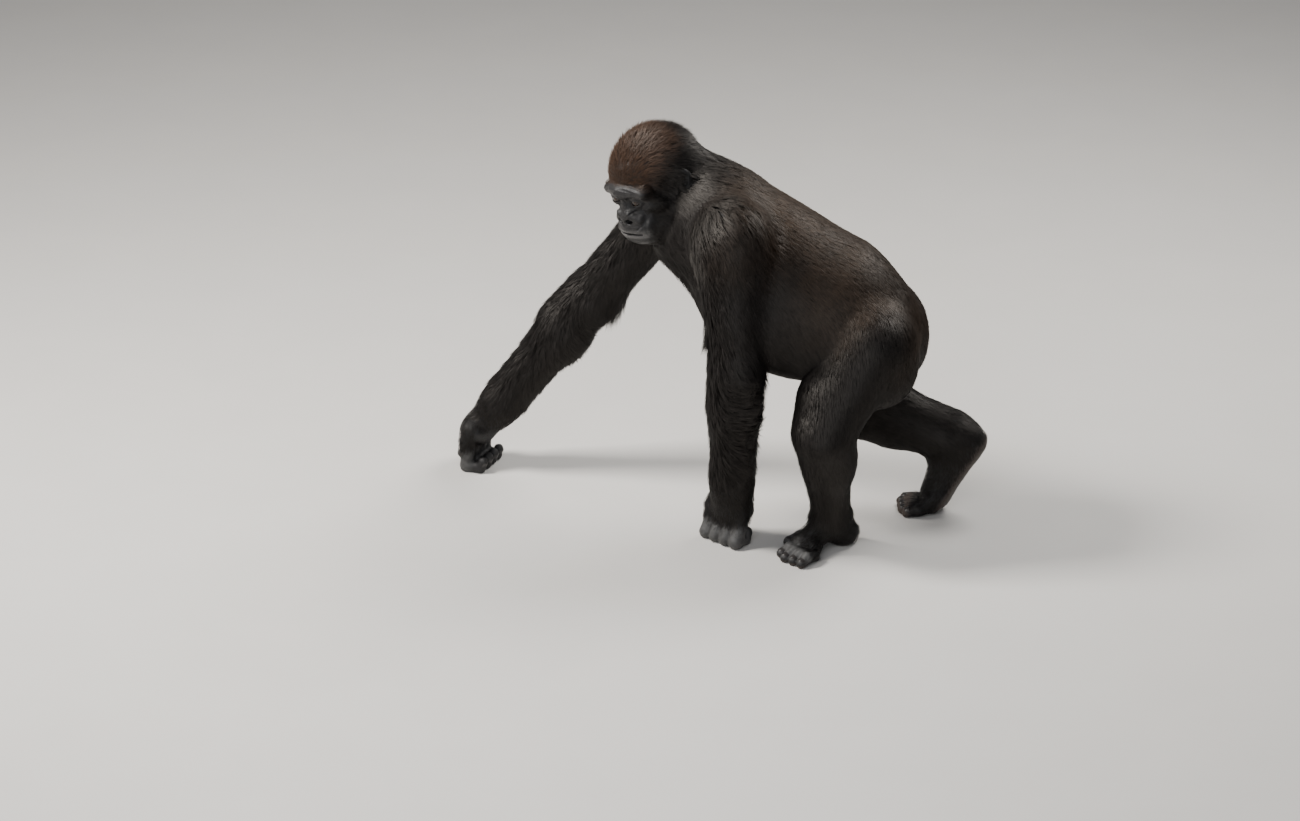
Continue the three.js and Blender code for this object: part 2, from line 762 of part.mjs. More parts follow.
// Trunk and neck
const torso = withoutLimbs(region(whole, SPACE.torso, MESHING.trunk)).subtract(headSpace(-GAP / 2));
solids.neck = pieceAt(ahead(torso, NECK_ROOT), [0, 5, 640]);
solids.chest = pieceAt(ahead(behind(torso, NECK_ROOT), RIBS_END), [0, 60, 540]);
solids.belly = pieceAt(ahead(behind(torso, RIBS_END), LOINS), [0, 170, 450]);
solids.pelvis = pieceAt(behind(torso, LOINS), [0, 280, 400]);

// The plane halfway through a bend, facing up the limb.
function bend(above, joint, below) {
  return { at: joint, facing: add(unit(minus(above, joint)), unit(minus(joint, below))) };
}

function ankleCut({ knee, ankle, ball }) {
  return bend(knee, ankle, ball ?? minus(ankle, minus(knee, ankle)));
}

// Arms and legs
for (const [name, at] of [
  ["left", LEFT],
  ["right", RIGHT],
]) {
  const elbow = bend(at.shoulder, at.elbow, at.wrist);
  const wrist = { at: at.wrist, facing: minus(at.elbow, at.wrist) };
  const knee = bend(at.hip, at.knee, at.ankle);
  const ankle = ankleCut(at);

  const armName = `arm_${name}`;
  const wholeArm = region(whole, SPACE[armName], MESHING.limb).intersect(reach[armName].own);
  solids[`upper_arm_${name}`] = pieceAt(ahead(wholeArm, elbow), between(at.shoulder, at.elbow, 0.5));
  solids[`forearm_${name}`] = pieceAt(
    ahead(behind(wholeArm, elbow), wrist),
    between(at.elbow, at.wrist, 0.5),
  );

  const legName = `leg_${name}`;
  const wholeLeg = region(whole, SPACE[legName], MESHING.limb).intersect(reach[legName].own);
  solids[`thigh_${name}`] = pieceAt(ahead(wholeLeg, knee), between(at.hip, at.knee, 0.5));
  solids[`shin_${name}`] = pieceAt(
    ahead(behind(wholeLeg, knee), ankle),
    between(at.knee, at.ankle, 0.5),
  );

  const handSpace = {
    low: [at.knuckle[0] - 80, at.knuckle[1] - 65, -6],
    high: [at.knuckle[0] + 80, at.knuckle[1] + 90, at.wrist[2] + 40],
  };
  const wholeHand = region(whole, handSpace, MESHING.handOrFoot);
  solids[`hand_${name}`] = pieceAt(behind(wholeHand, wrist), add(at.knuckle, [0, 0, 10]));
}

const leftFoot = region(whole, SPACE.foot_left, MESHING.handOrFoot);
solids.foot_left = pieceAt(behind(leftFoot, ankleCut(LEFT)), add(LEFT.ankle, [0, 0, -20]));
const rightFoot = region(whole, SPACE.foot_right, MESHING.handOrFoot);
solids.foot_right = pieceAt(
  behind(rightFoot, ankleCut(RIGHT)),
  between(RIGHT.heel, RIGHT.ball, 0.5),
);

// Head, with its mouth, nostrils, lids and the seats of the eyes and ears
let face = region(whole, SPACE.head, MESHING.head).intersect(headSpace(GAP / 2));
face = face.subtract(reach.arm_right.taken).subtract(reach.arm_left.taken);
face = face.subtract(onHeadEllipsoid(MOUTH.at, MOUTH.radii, 32, 10, MOUTH.droop));
for (const [name, side] of [
  ["left", 1],
  ["right", -1],
]) {
  const eyeAt = [side * EYE.side, EYE.forward, EYE.up];
  const fissureAt = [side * EYE.side, FISSURE.forward, EYE.up];
  const [s, ...rest] = NOSTRIL.at;
  const clear = EYE.radius + GAP;
  solids[`eye_${name}`] = onHeadEllipsoid(eyeAt, Array(3).fill(EYE.radius), 18, 10);
  face = face.subtract(onHeadEllipsoid(eyeAt, Array(3).fill(clear), 18, 10));
  face = face.subtract(onHeadEllipsoid(fissureAt, FISSURE.radii, 20, 8));
  face = face.subtract(onHeadEllipsoid([side * s, ...rest], NOSTRIL.radii, 12, 8));

  const earAt = [side * EAR.at[0], EAR.at[1], EAR.at[2]];
  const [low, high] = [-1, 1].map((end) => add(onHead(...earAt), Array(3).fill(end * EAR.box)));
  const earAndSkin = region(blend(whole, [earShape(side), 3]), { low, high }, MESHING.ear);
  solids[`ear_${name}`] = pieceAt(earAndSkin.intersect(earPlug(side, 0)), onHead(...earAt));
  face = face.subtract(earPlug(side, GAP));
}
solids.head = pieceAt(face, onHead(0, 0, 0));

// ---------------------------------------------------------------------------
// The scene graph
// ---------------------------------------------------------------------------

const coat = { roughness: 0.75, metalness: 0 };
const FINISH = {
  head: { color: BARE_SKIN, ...coat },
  ear: { color: BARE_SKIN, ...coat },
  eye: { color: EYE_BROWN, roughness: 0.08, metalness: 0 },
  hand: { color: BARE_SKIN, ...coat },
  foot: { color: BARE_SKIN, ...coat },
  belly: { color: BACK_COAT, ...coat },
  pelvis: { color: BACK_COAT, ...coat },
};

function meshOf(name, solid) {
  const { vertProperties, triVerts } = solid.getMesh();
  const geometry = new THREE.BufferGeometry();
  geometry.setAttribute("position", new THREE.BufferAttribute(vertProperties, 3));
  geometry.setIndex(new THREE.BufferAttribute(triVerts, 1));
  const kind = name.split("_")[0];
  const material = new THREE.MeshStandardMaterial(FINISH[kind] ?? { color: COAT, ...coat });
  const mesh = new THREE.Mesh(geometry, material);
  mesh.name = name;
  return mesh;
}

const gorilla = new THREE.Group();
gorilla.name = "gorilla";
for (const [name, solid] of Object.entries(solids)) gorilla.add(meshOf(name, solid));

// The origin is on the floor, under the middle of the animal's box.
const box = new THREE.Box3().setFromObject(gorilla, true);
const centre = box.getCenter(new THREE.Vector3());
gorilla.position.set(-centre.x, -centre.y, 0);

export default gorilla;
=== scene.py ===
import math
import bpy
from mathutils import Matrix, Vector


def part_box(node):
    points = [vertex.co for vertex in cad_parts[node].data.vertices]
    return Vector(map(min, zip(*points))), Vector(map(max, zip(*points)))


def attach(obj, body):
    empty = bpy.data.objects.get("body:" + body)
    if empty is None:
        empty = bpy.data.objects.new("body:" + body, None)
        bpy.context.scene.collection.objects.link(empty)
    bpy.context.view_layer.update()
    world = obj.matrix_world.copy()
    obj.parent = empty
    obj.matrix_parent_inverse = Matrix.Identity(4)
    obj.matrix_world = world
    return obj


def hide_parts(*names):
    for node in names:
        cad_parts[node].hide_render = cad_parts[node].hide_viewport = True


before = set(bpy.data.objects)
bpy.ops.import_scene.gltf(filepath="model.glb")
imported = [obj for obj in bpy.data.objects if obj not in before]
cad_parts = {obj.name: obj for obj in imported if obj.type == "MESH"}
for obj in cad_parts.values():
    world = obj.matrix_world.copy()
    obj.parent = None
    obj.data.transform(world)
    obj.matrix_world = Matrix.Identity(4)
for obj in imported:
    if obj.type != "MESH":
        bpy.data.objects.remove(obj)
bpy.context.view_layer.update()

from concurrent.futures import ThreadPoolExecutor

import bpy
import numpy as np
from bpy.props import FloatProperty, FloatVectorProperty, IntProperty, PointerProperty
from mathutils import Vector
from mathutils.kdtree import KDTree

bl_info = {
    "name": "Young gorilla",
    "version": (1, 0, 0),
    "blender": (4, 5, 0),
    "location": "View3D > Sidebar > Gorilla",
    "description": "Dresses the packed gorilla in its skin, coat, eyes and nails",
    "category": "Add Mesh",
}

BODY = "root"
MM = 0.001

# ---------------------------------------------------------------------------
# Sizes in millimetres, as the solids have them. The animal faces -Y and its left is +X.
# ---------------------------------------------------------------------------

SINK = 1.2  # how far fingers and soles would pass the floor, before it flattens them

HEAD_AT = (10, -98, 652)
HEAD_YAW = 54
HEAD_PITCH = 19
HEAD_ROLL = 8

LEFT = dict(
    side=1,
    shoulder=(110, 60, 584),
    elbow=(144, 78, 350),
    wrist=(102, 66, 112),
    knuckle=(91, 61, 57),
    hand_yaw=58,
    finger_reach=23,
    arm_girth=1.0,
    elbow_radius=44,
    wrist_radius=40,
    arm_fringe=(0.25, 0.95, -0.15),
    hip=(78, 308, 398),
    knee=(150, 238, 248),
    ankle=(87, 245, 62),
    knee_radius=50,
    ankle_radius=33,
    foot_yaw=44,
)
RIGHT = dict(
    side=-1,
    shoulder=(-112, -104, 556),
    elbow=(-142, -248, 350),
    wrist=(-140, -414, 130),
    knuckle=(-140, -460, 72),
    hand_yaw=-12,
    finger_reach=8,
    arm_girth=0.84,
    elbow_radius=47,
    wrist_radius=41,
    arm_fringe=(-0.15, 0.5, -0.85),
    hip=(-74, 302, 376),
    knee=(-124, 258, 190),
    ankle=(-112, 428, 150),
    knee_radius=60,
    ankle_radius=48,
    heel=(-110, 466, 142),
    ball=(-110, 402, 34),
    toe_end=(-110, 338, 9),
)
LIMBS = {"left": LEFT, "right": RIGHT}  # the sizes of each side's arm and leg
ENDS = ("hand_left", "hand_right", "foot_left", "foot_right")

EYE = dict(side=27, forward=63, up=-8, radius=12.5, lid=2.4)
FISSURE = dict(forward=75, radii=(11.5, 10, 4))
SHORT_FACE = dict(below=-25, share=0.86)  # below this height the face is shortened to its share
NOSTRIL = dict(at=(11, 88, -40.5), radii=(6.8, 10, 4.8))
MOUTH = dict(at=(0, 68, -63.7), radii=(35, 33, 3.9), droop=4.3)
EAR = dict(at=(74, -10, -2), turn=25, radii=(6, 15, 21))
FINGER = dict(count=4, spacing=22.5, radius=13.4, longest=1.4, thinning=0.6, drop=3)
FINGER_BEND = dict(middle=26, tip=6, tip_height=22)
THUMB = dict(root=(27, 2, 78), joint=(41, 10, 58), tip=(42, 14, 36))
TOE = dict(count=4, spacing=16, radius=11, root=(-8, 62, 14), reach=106, bend=0.55)
FLAT_BIG_TOE = dict(root=(14, 14, 20), joint=(38, 44, 13), tip=(42, 64, 10 - SINK))
PUSHING_BIG_TOE = dict(root=(16, 10, 38), joint=(40, -24, 15), tip=(42, -44, 10 - SINK))
FILLET = dict(neck=40, arm=28, leg=26, head=22, end=24)

# ---------------------------------------------------------------------------
# Vectors and posed frames
# ---------------------------------------------------------------------------


def vec(*numbers):
    """A point or direction as numbers that numpy can add."""
    return np.array(numbers[0] if len(numbers) == 1 else numbers, np.float32)


def unit(a):
    """The vectors of a, each made one long."""
    return a / np.maximum(np.linalg.norm(a, axis=-1, keepdims=True), 1e-9)


def towards(a, b):
    """The direction from a to b."""
    return unit(vec(b) - vec(a))


def between(a, b, t):
    """The point that lies the share t of the way from a to b."""
    return vec(a) * (1 - t) + vec(b) * t


class Frame:
    """An origin with axes to the side, forward and up, turned by yaw about the vertical, dipped
    forward by pitch and with its side lifted by roll."""

    def __init__(self, origin, yaw, pitch=0, roll=0):
        y, p, r = (math.radians(angle) for angle in (yaw, pitch, roll))
        self.origin = vec(origin)
        level = vec(math.sin(y), -math.cos(y), 0)
        across = vec(math.cos(y), math.sin(y), 0)
        above = level * math.sin(p) + vec(0, 0, math.cos(p))
        forward = level * math.cos(p) - vec(0, 0, math.sin(p))
        side = across * math.cos(r) + above * math.sin(r)
        self.axes = np.stack([side, forward, above * math.cos(r) - across * math.sin(r)])

    def world(self, point):
        return self.origin + vec(point) @ self.axes

    def turn(self, direction):
        return np.asarray(direction, np.float32) @ self.axes

    def local(self, points):
        return (np.asarray(points, np.float32) - self.origin) @ self.axes.T


HEAD = Frame(HEAD_AT, HEAD_YAW, HEAD_PITCH, HEAD_ROLL)
EYE_AT = {
    name: (limb["side"] * EYE["side"], EYE["forward"], EYE["up"]) for name, limb in LIMBS.items()
}


def packed_shift():
    """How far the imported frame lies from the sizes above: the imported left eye's middle less the
    same point by the sizes."""
    low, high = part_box("eye_left")
    middle = (np.array(low) + np.array(high)) / 2 / MM
    shift = middle - HEAD.world(EYE_AT["left"])
    return vec(shift[0], shift[1], 0)


SHIFT = packed_shift()

# ---------------------------------------------------------------------------
# Rounded shapes: each takes points and gives their distances to its surface, below zero inside
# ---------------------------------------------------------------------------


def bone(p, a, b, radius_a, radius_b):
    """A rounded cone: the distance to the line from a to b, less a radius that changes along it."""
    a, b = vec(a), vec(b)
    d = b - a
    q = p - a
    t = np.clip(q @ (d / (d @ d)), 0, 1)
    off = q - t[:, None] * d
    return np.sqrt(np.einsum("ij,ij->i", off, off)) - (radius_a + (radius_b - radius_a) * t)


def egg(p, centre, radii):
    """An ellipsoid: k0 (k0 - 1) / k1, where k0 and k1 are the lengths of the point over the radii
    and over their squares."""
    r = vec(radii)
    q = (p - vec(centre)) / r
    k0 = np.sqrt(np.einsum("ij,ij->i", q, q))
    q = q / r
    k1 = np.sqrt(np.einsum("ij,ij->i", q, q))
    return k0 * (k0 - 1) / np.maximum(k1, 1e-9)


def soft_min(a, b, k):
    """The lesser of two distances, rounded by a parabola where they are within k of each other."""
    h = np.maximum(k - np.abs(a - b), 0) / k
    return np.minimum(a, b) - h * h * (k / 4)


def carve(shape, tool, k):
    """The shape without the tool, with a rim rounded over k."""
    return -soft_min(-shape, tool, k)


def blend(first, *rest):
    """Joins distances one after another; each of rest is a pair of distances and fillet width."""
    for distances, k in rest:
        first = soft_min(first, distances, k)
    return first


def smooth(low, high, x):
    """A smooth step of x from 0 at low to 1 at high."""
    t = np.clip((x - low) / (high - low), 0, 1)
    return t * t * (3 - 2 * t)


def noise(p, size, seed=0):
    """Value noise from -1 to 1: numbers hashed from a grid of that size, blended with a smooth
    step."""
    q = p / size + seed * 17.13
    cell = np.floor(q).astype(np.int64)
    t = (q - cell).astype(np.float32)
    t = t * t * (3 - 2 * t)
    total = np.zeros(len(p), np.float32)
    for corner in np.ndindex(2, 2, 2):
        c = cell + np.array(corner)
        mixed = (c[:, 0] * 73856093) ^ (c[:, 1] * 19349663) ^ (c[:, 2] * 83492791) ^ (seed * 2654435)
        mixed = (mixed ^ (mixed >> 13)) * 1274126177
        value = ((mixed ^ (mixed >> 16)) & 0xFFFF) / 32767.5 - 1
        weight = np.prod(np.where(np.array(corner), t, 1 - t), axis=1)
        total += (value * weight).astype(np.float32)
    return total


# ---------------------------------------------------------------------------
# The body's shapes
# ---------------------------------------------------------------------------


def trunk(p):
    """Ribs, gut, rump, breast, the hump over the shoulder blades and the slopes to the shoulders."""
    d = bone(p, (0, 112, 474), (0, 225, 424), 124, 124)
    d = soft_min(d, bone(p, (0, 225, 424), (0, 285, 394), 122, 98), 40)
    d = soft_min(d, bone(p, (0, -20, 556), (0, 100, 500), 84, 110), 60)
    d = soft_min(d, egg(p, (0, 45, 582), (96, 88, 62)), 50)
    d = soft_min(d, egg(p, (0, 135, 434), (132, 126, 126)), 60)
    for side in (1, -1):
        d = soft_min(d, egg(p, (side * 56, 310, 346), (62, 79, 84)), 40)
    for limb in LIMBS.values():
        side, (x, y, z) = limb["side"], limb["shoulder"]
        d = soft_min(d, bone(p, (side * 34, 24, 606), (x - side * 22, y, z + 6), 52, 50), 40)
    return d


def neck(p):
    """The thick neck from the back of the skull to the shoulders."""
    d = bone(p, HEAD.world((0, -40, -8)), (0, 20, 588), 63, 78)
    return soft_min(d, bone(p, HEAD.world((0, -20, -50)), (0, 0, 550), 48, 64), 40)


def drawn_face(p):
    """Points in the head's frame, with the face below the eyes at the full height that it is drawn
    at. The head has it shortened to its share."""
    q = HEAD.local(p)
    low = np.minimum(q[:, 2] - SHORT_FACE["below"], 0)
    q[:, 2] += low * (1 / SHORT_FACE["share"] - 1)
    return q


def head(p):
    """The head on both sides alike: skull, brow, muzzle, jaw, nose, lips and lids."""
    q = drawn_face(p)
    q[:, 0] = np.sqrt(q[:, 0] ** 2 + 4)
    d = blend(
        egg(q, (0, -8, 22), (70, 84, 66)),  # skull
        (egg(q, (0, 30, -28), (50, 44, 48)), 25),  # middle of the face
        (bone(q, (0, 76, 13), (45, 61, 9), 13, 12), 10),  # brow ridge
        (bone(q, (45, 60, 7), (51, 45, -13), 10, 8), 10),  # outer rim of the eye socket
        (egg(q, (46, 43, -24), (16, 20, 12)), 14),  # cheekbone
        (bone(q, (0, 30, -44), (0, 56, -65), 45, 38), 20),  # muzzle
        (egg(q, (26, 54, -64), (20, 26, 20)), 16),  # side of the muzzle
        (bone(q, (32, 0, -58), (15, 58, -84), 30, 25), 20),  # lower jaw
        (egg(q, (0, 66, -98), (18, 14, 13)), 12),  # chin
        (bone(q, (0, 64, 0), (0, 78, -30), 8, 9), 12),  # bridge of the nose
        (egg(q, (0, 84, -38), (10, 9, 10)), 8),  # tip of the nose
        (bone(q, (12, 83, -30), (23, 74, -43), 8, 11), 6),  # wing of the nose
        (bone(q, (22, 75, -45), (8, 84, -53), 9, 6.5), 5),  # rim below the nostril
        (bone(q, (0, 88, -62), (20, 80, -64), 8, 7), 8),  # upper lip
        (bone(q, (20, 80, -64), (35, 56, -73), 7, 4), 8),
        (bone(q, (0, 83, -80), (17, 76, -80), 8, 7), 8),  # lower lip
        (bone(q, (17, 76, -80), (34, 54, -77), 7, 4), 8),
    )
    d = carve(d, egg(q, (EYE["side"], 80, -7), (17, 15, 10)), 8)
    ball = EYE["radius"] + EYE["lid"]
    return soft_min(d, egg(q, (EYE["side"], EYE["forward"], EYE["up"]), (ball, ball, ball)), 5)


def ear_space(q, side):
    """Points of the head's frame in the ear's own frame, whose hind edge stands away from the
    head."""
    turn = math.radians(EAR["turn"])
    c, s = math.cos(turn), math.sin(turn)
    at = q * vec(side, 1, 1) - vec(EAR["at"])
    return np.stack([at[:, 0] * c + at[:, 1] * s, -at[:, 0] * s + at[:, 1] * c, at[:, 2]], 1)


def ear(p, side):
    """A shallow cup with a rolled rim, an inner ridge, a flap in front of the canal and a lobe."""
    q = ear_space(HEAD.local(p), side)
    d = carve(egg(q, (0, 0, 0), EAR["radii"]), egg(q, (5.5, 2, 1), (6, 9.5, 14.5)), 2)
    d = soft_min(d, egg(q, (3, 10, -3), (4, 3.5, 5)), 3)
    d = soft_min(d, bone(q, (1, -5, -8), (1, -4, 9), 2.2, 2.2), 3)
    return soft_min(d, egg(q, (1, 3, -18), (4, 7, 6)), 4)


def arm(p, limb):
    """Shoulder, upper arm and forearm with its swelling below the elbow."""
    side, girth, r = limb["side"], limb["arm_girth"], limb["elbow_radius"]
    shoulder, elbow, wrist = vec(limb["shoulder"]), vec(limb["elbow"]), vec(limb["wrist"])
    return blend(
        egg(p, shoulder + vec(side * -4, 0, -8), vec(62, 66, 78) * girth),
        (bone(p, shoulder + vec(side * 2, 0, -20), elbow, 60 * girth, r - 1), 30),
        (bone(p, elbow, wrist, r, limb["wrist_radius"]), 25),
        (egg(p, between(elbow, wrist, 0.28), (r - 3, r, 62)), 30),
    )


def leg(p, limb):
    """Thigh and shin with the calf behind it."""
    hip, knee, ankle = limb["hip"], limb["knee"], limb["ankle"]
    return blend(
        bone(p, hip, knee, 76, 52),
        (egg(p, between(hip, knee, 0.66) + vec(2, -26, 0), (46, 50, 62)), 30),
        (bone(p, knee, ankle, limb["knee_radius"], limb["ankle_radius"]), 25),
        (egg(p, between(knee, ankle, 0.3) + vec(0, 8, 0), (43, 46, 60)), 25),
    )


def hand_frame(limb):
    """The frame of a hand, on the floor below its knuckles."""
    return Frame((limb["knuckle"][0], limb["knuckle"][1], 0), limb["hand_yaw"])


def on_inner_side(digit, side):
    """The root, joint and tip of a thumb or big toe, whose first number counts towards the body."""
    return [vec(digit[place]) * vec(-side, 1, 1) for place in ("root", "joint", "tip")]


def finger_path(limb, i):
    """The knuckle, the bend, the inner joint and the tip of a finger, and its radius."""
    x = (i - (FINGER["count"] - 1) / 2) * FINGER["spacing"]
    off = abs(i - FINGER["longest"])
    r = FINGER["radius"] - off * FINGER["thinning"]
    top = limb["knuckle"][2] - off * FINGER["drop"]
    bend = (x * 1.05, limb["finger_reach"], r - SINK)
    back = (x, bend[1] - FINGER_BEND["middle"], r - 2 - SINK)
    return (x, 4, top), bend, back, (x, back[1] - FINGER_BEND["tip"], FINGER_BEND["tip_height"]), r


def hand(p, limb):
    """A hand that stands on the backs of its bent fingers, with the thumb on the inner side."""
    f = hand_frame(limb)
    q = f.local(p)
    top, across = limb["knuckle"][2], FINGER["spacing"] * 1.08
    d = bone(q, f.local(limb["wrist"]), (0, 0, top), 34, 31)
    d = soft_min(d, bone(q, (-across, 0, top + 6), (across, 0, top + 6), 25, 25), 14)
    for i in range(FINGER["count"]):
        knuckle, bend, back, tip, r = finger_path(limb, i)
        d = soft_min(d, bone(q, knuckle, bend, r + 1.5, r), 7)
        d = soft_min(d, bone(q, bend, back, r, r - 2), 5)
        d = soft_min(d, bone(q, back, tip, r - 2, r - 3.5), 4)
    root, joint, tip = on_inner_side(THUMB, limb["side"])
    d = soft_min(d, bone(q, root, joint, 16, 11.5), 10)
    return soft_min(d, bone(q, joint, tip, 11, 8.5), 5)


def flat_foot_frame():
    """The frame of the left foot, on the floor below its ankle."""
    return Frame((LEFT["ankle"][0], LEFT["ankle"][1], 0), LEFT["foot_yaw"])


def flat_toe_path(i):
    """The root, the raised middle and the tip of a toe of the left foot."""
    root = vec(TOE["root"]) + vec(i * TOE["spacing"], 0, 0)
    tip = vec(root[0] * 1.15, TOE["reach"] - abs(i - 1) * 5, TOE["radius"] - 2 - SINK)
    return root, between(root, tip, TOE["bend"]) + vec(0, 0, 4.5), tip


def flat_foot(p):
    """The left foot, flat on the floor, with its big toe set apart on the inner side."""
    q = flat_foot_frame().local(p)
    r = TOE["radius"]
    d = egg(q, (0, -26, 24), (27, 32, 26))
    d = soft_min(d, bone(q, (0, 0, 52), (0, 56, 24), 30, 22), 20)
    d = soft_min(d, bone(q, (-18, 52, 18), (20, 52, 18), 17, 15), 15)
    for i in range(TOE["count"]):
        root, middle, tip = flat_toe_path(i)
        d = soft_min(d, bone(q, root, middle, r, r - 1), 6)
        d = soft_min(d, bone(q, middle, tip, r - 1, r - 2), 4)
    root, joint, tip = on_inner_side(FLAT_BIG_TOE, LEFT["side"])
    d = soft_min(d, bone(q, root, joint, 16, 12), 10)
    return soft_min(d, bone(q, joint, tip, 12, 10), 5)


def pushing_toe_path(i):
    """The root and the tip of a toe of the right foot."""
    out = (i - 1.5) * TOE["spacing"]
    root = vec(RIGHT["ball"]) + vec(out, -4, -18)
    tip = vec(RIGHT["toe_end"]) + vec(out * 1.1, abs(i - 1) * 4, -SINK)
    return root, tip


def pushing_big_toe():
    """The root, joint and tip of the right foot's big toe."""
    below = vec(RIGHT["ball"][0], RIGHT["ball"][1], 0)
    return [below + point for point in on_inner_side(PUSHING_BIG_TOE, RIGHT["side"])]


def pushing_foot(p):
    """The right foot, with its heel up and its toes bent on the floor."""
    ankle, heel, ball = vec(RIGHT["ankle"]), vec(RIGHT["heel"]), vec(RIGHT["ball"])
    d = bone(p, heel, ball, 28, 26)
    d = soft_min(d, bone(p, ankle, ball, 32, 25), 15)
    d = soft_min(d, bone(p, ball + vec(-16, 0, -4), ball + vec(16, 0, -4), 20, 20), 12)
    for i in range(TOE["count"]):
        root, tip = pushing_toe_path(i)
        d = soft_min(d, bone(p, root, tip, 14, 9), 6)
    root, joint, tip = pushing_big_toe()
    d = soft_min(d, bone(p, root, joint, 17, 12), 10)
    return soft_min(d, bone(p, joint, tip, 12, 10), 5)


PARTS = {
    "trunk": trunk,
    "neck": neck,
    "head": head,
    "arm_left": lambda p: arm(p, LEFT),
    "arm_right": lambda p: arm(p, RIGHT),
    "leg_left": lambda p: leg(p, LEFT),
    "leg_right": lambda p: leg(p, RIGHT),
    "hand_left": lambda p: hand(p, LEFT),
    "hand_right": lambda p: hand(p, RIGHT),
    "foot_left": flat_foot,
    "foot_right": pushing_foot,
}


def part_distances(p):
    """The distance to each part, by its name."""
    return {name: shape(p) for name, shape in PARTS.items()}


def nearest(d, *names):
    """The distance to the nearest of the named parts."""
    return np.min([d[name] for name in names], axis=0)


def outline(d):
    """The whole body's distance from the distances of its parts."""
    body = blend(
        d["trunk"],
        (d["neck"], FILLET["neck"]),
        (d["arm_left"], FILLET["arm"]),
        (d["arm_right"], FILLET["arm"]),
        (d["leg_left"], FILLET["leg"]),
        (d["leg_right"], FILLET["leg"]),
        (d["head"], FILLET["head"]),
    )
    for end in ENDS:
        body = soft_min(body, d[end], FILLET["end"])
    return body


# ---------------------------------------------------------------------------
# Where the coat grows, how deep it is and how it lies
# ---------------------------------------------------------------------------

# The coat's depth over the skin on trunk and limbs, and how much less it is on the head, more
# towards the face, and on hands and feet
DEPTH = dict(body=8.0, head=2.0, to_face=2.5, ends=5.0)
FACE = (  # the eggs that hold its bare skin: muzzle, brow and eye sockets, as centres and radii
    ((0, 80, -46), (47, 60, 62)),
    ((0, 80, 8), (57, 42, 18)),
    ((0, 72, -14), (56, 36, 22)),
)


def bare_face(q):
    """1 on the bare face and 0 in the coat, from points in the head's frame."""
    reach = [np.linalg.norm((q - vec(at)) / vec(radii), axis=1) for at, radii in FACE]
    return 1 - smooth(0.86, 1.12, np.min(reach, axis=0))


def bareness(p, d):
    """How bare the skin is: 1 on the face, fingers, toes, palms and soles, 0 in the coat."""
    bare = bare_face(drawn_face(p)) * smooth(10, 0, d["head"] - nearest(d, "neck", "trunk"))
    for name, limb in LIMBS.items():
        q = hand_frame(limb).local(p)
        fingers = smooth(52, 34, q[:, 2] + 0.35 * q[:, 1])
        palm = smooth(-6, -20, q[:, 1]) * smooth(96, 70, q[:, 2])
        near = smooth(12, 0, d[f"hand_{name}"])
        bare = np.maximum(bare, np.maximum(fingers, palm) * near)
    for side in (1, -1):
        bare = np.maximum(bare, 0.97 * smooth(3, 0.5, ear(p, side)))
    q = flat_foot_frame().local(p)
    sole = np.maximum(smooth(66, 84, q[:, 1]), smooth(12, 4, q[:, 2]))
    sole = np.maximum(sole, smooth(-24, -34, q[:, 0]) * smooth(20, 36, q[:, 1]))
    bare = np.maximum(bare, sole * smooth(12, 0, d["foot_left"]))
    along = towards(RIGHT["heel"], RIGHT["ball"])
    sole = smooth(8, 20, (p - vec(RIGHT["ball"])) @ vec(0, -along[2], along[1]))
    sole = np.maximum(sole, smooth(372, 352, p[:, 1]))
    return np.maximum(bare, sole * smooth(12, 0, d["foot_right"]))


def head_share(d):
    """1 where the head lies nearer than neck and trunk, and 0 where it lies farther."""
    return smooth(8, -8, d["head"] - nearest(d, "neck", "trunk"))


def arm_share(d):
    """1 where an arm lies nearer than neck and trunk, and 0 where both lie farther."""
    return smooth(12, -12, nearest(d, "arm_left", "arm_right") - nearest(d, "neck", "trunk"))


def coat_depth(p, d, bare):
    """The coat's depth over the skin: full on trunk and limbs, less on head, hands and feet."""
    to_face = smooth(10, 60, HEAD.local(p)[:, 1])
    depth = DEPTH["body"] - head_share(d) * (DEPTH["head"] + DEPTH["to_face"] * to_face)
    for name in ENDS:
        depth = depth - DEPTH["ends"] * smooth(14, -4, d[name])
    return np.maximum(depth, 0) * (1 - bare)


def folded(q):
    """Points of the head's frame, with its right half laid over the left."""
    return np.stack([np.abs(q[:, 0]), q[:, 1], q[:, 2]], 1)


def ripple(x):
    """A wave between 0 and 1."""
    return 0.5 + 0.5 * np.sin(x)


def groove(away, width):
    """A soft groove: 1 at its middle and falling off over its width, from the distance to it."""
    return np.exp(-((away / width) ** 2))


def over_mouth(q):
    """How high points of the head's frame lie over the line of the mouth, whose corners droop."""
    return q[:, 2] - MOUTH["at"][2] + MOUTH["droop"] * (q[:, 0] / MOUTH["radii"][0]) ** 2


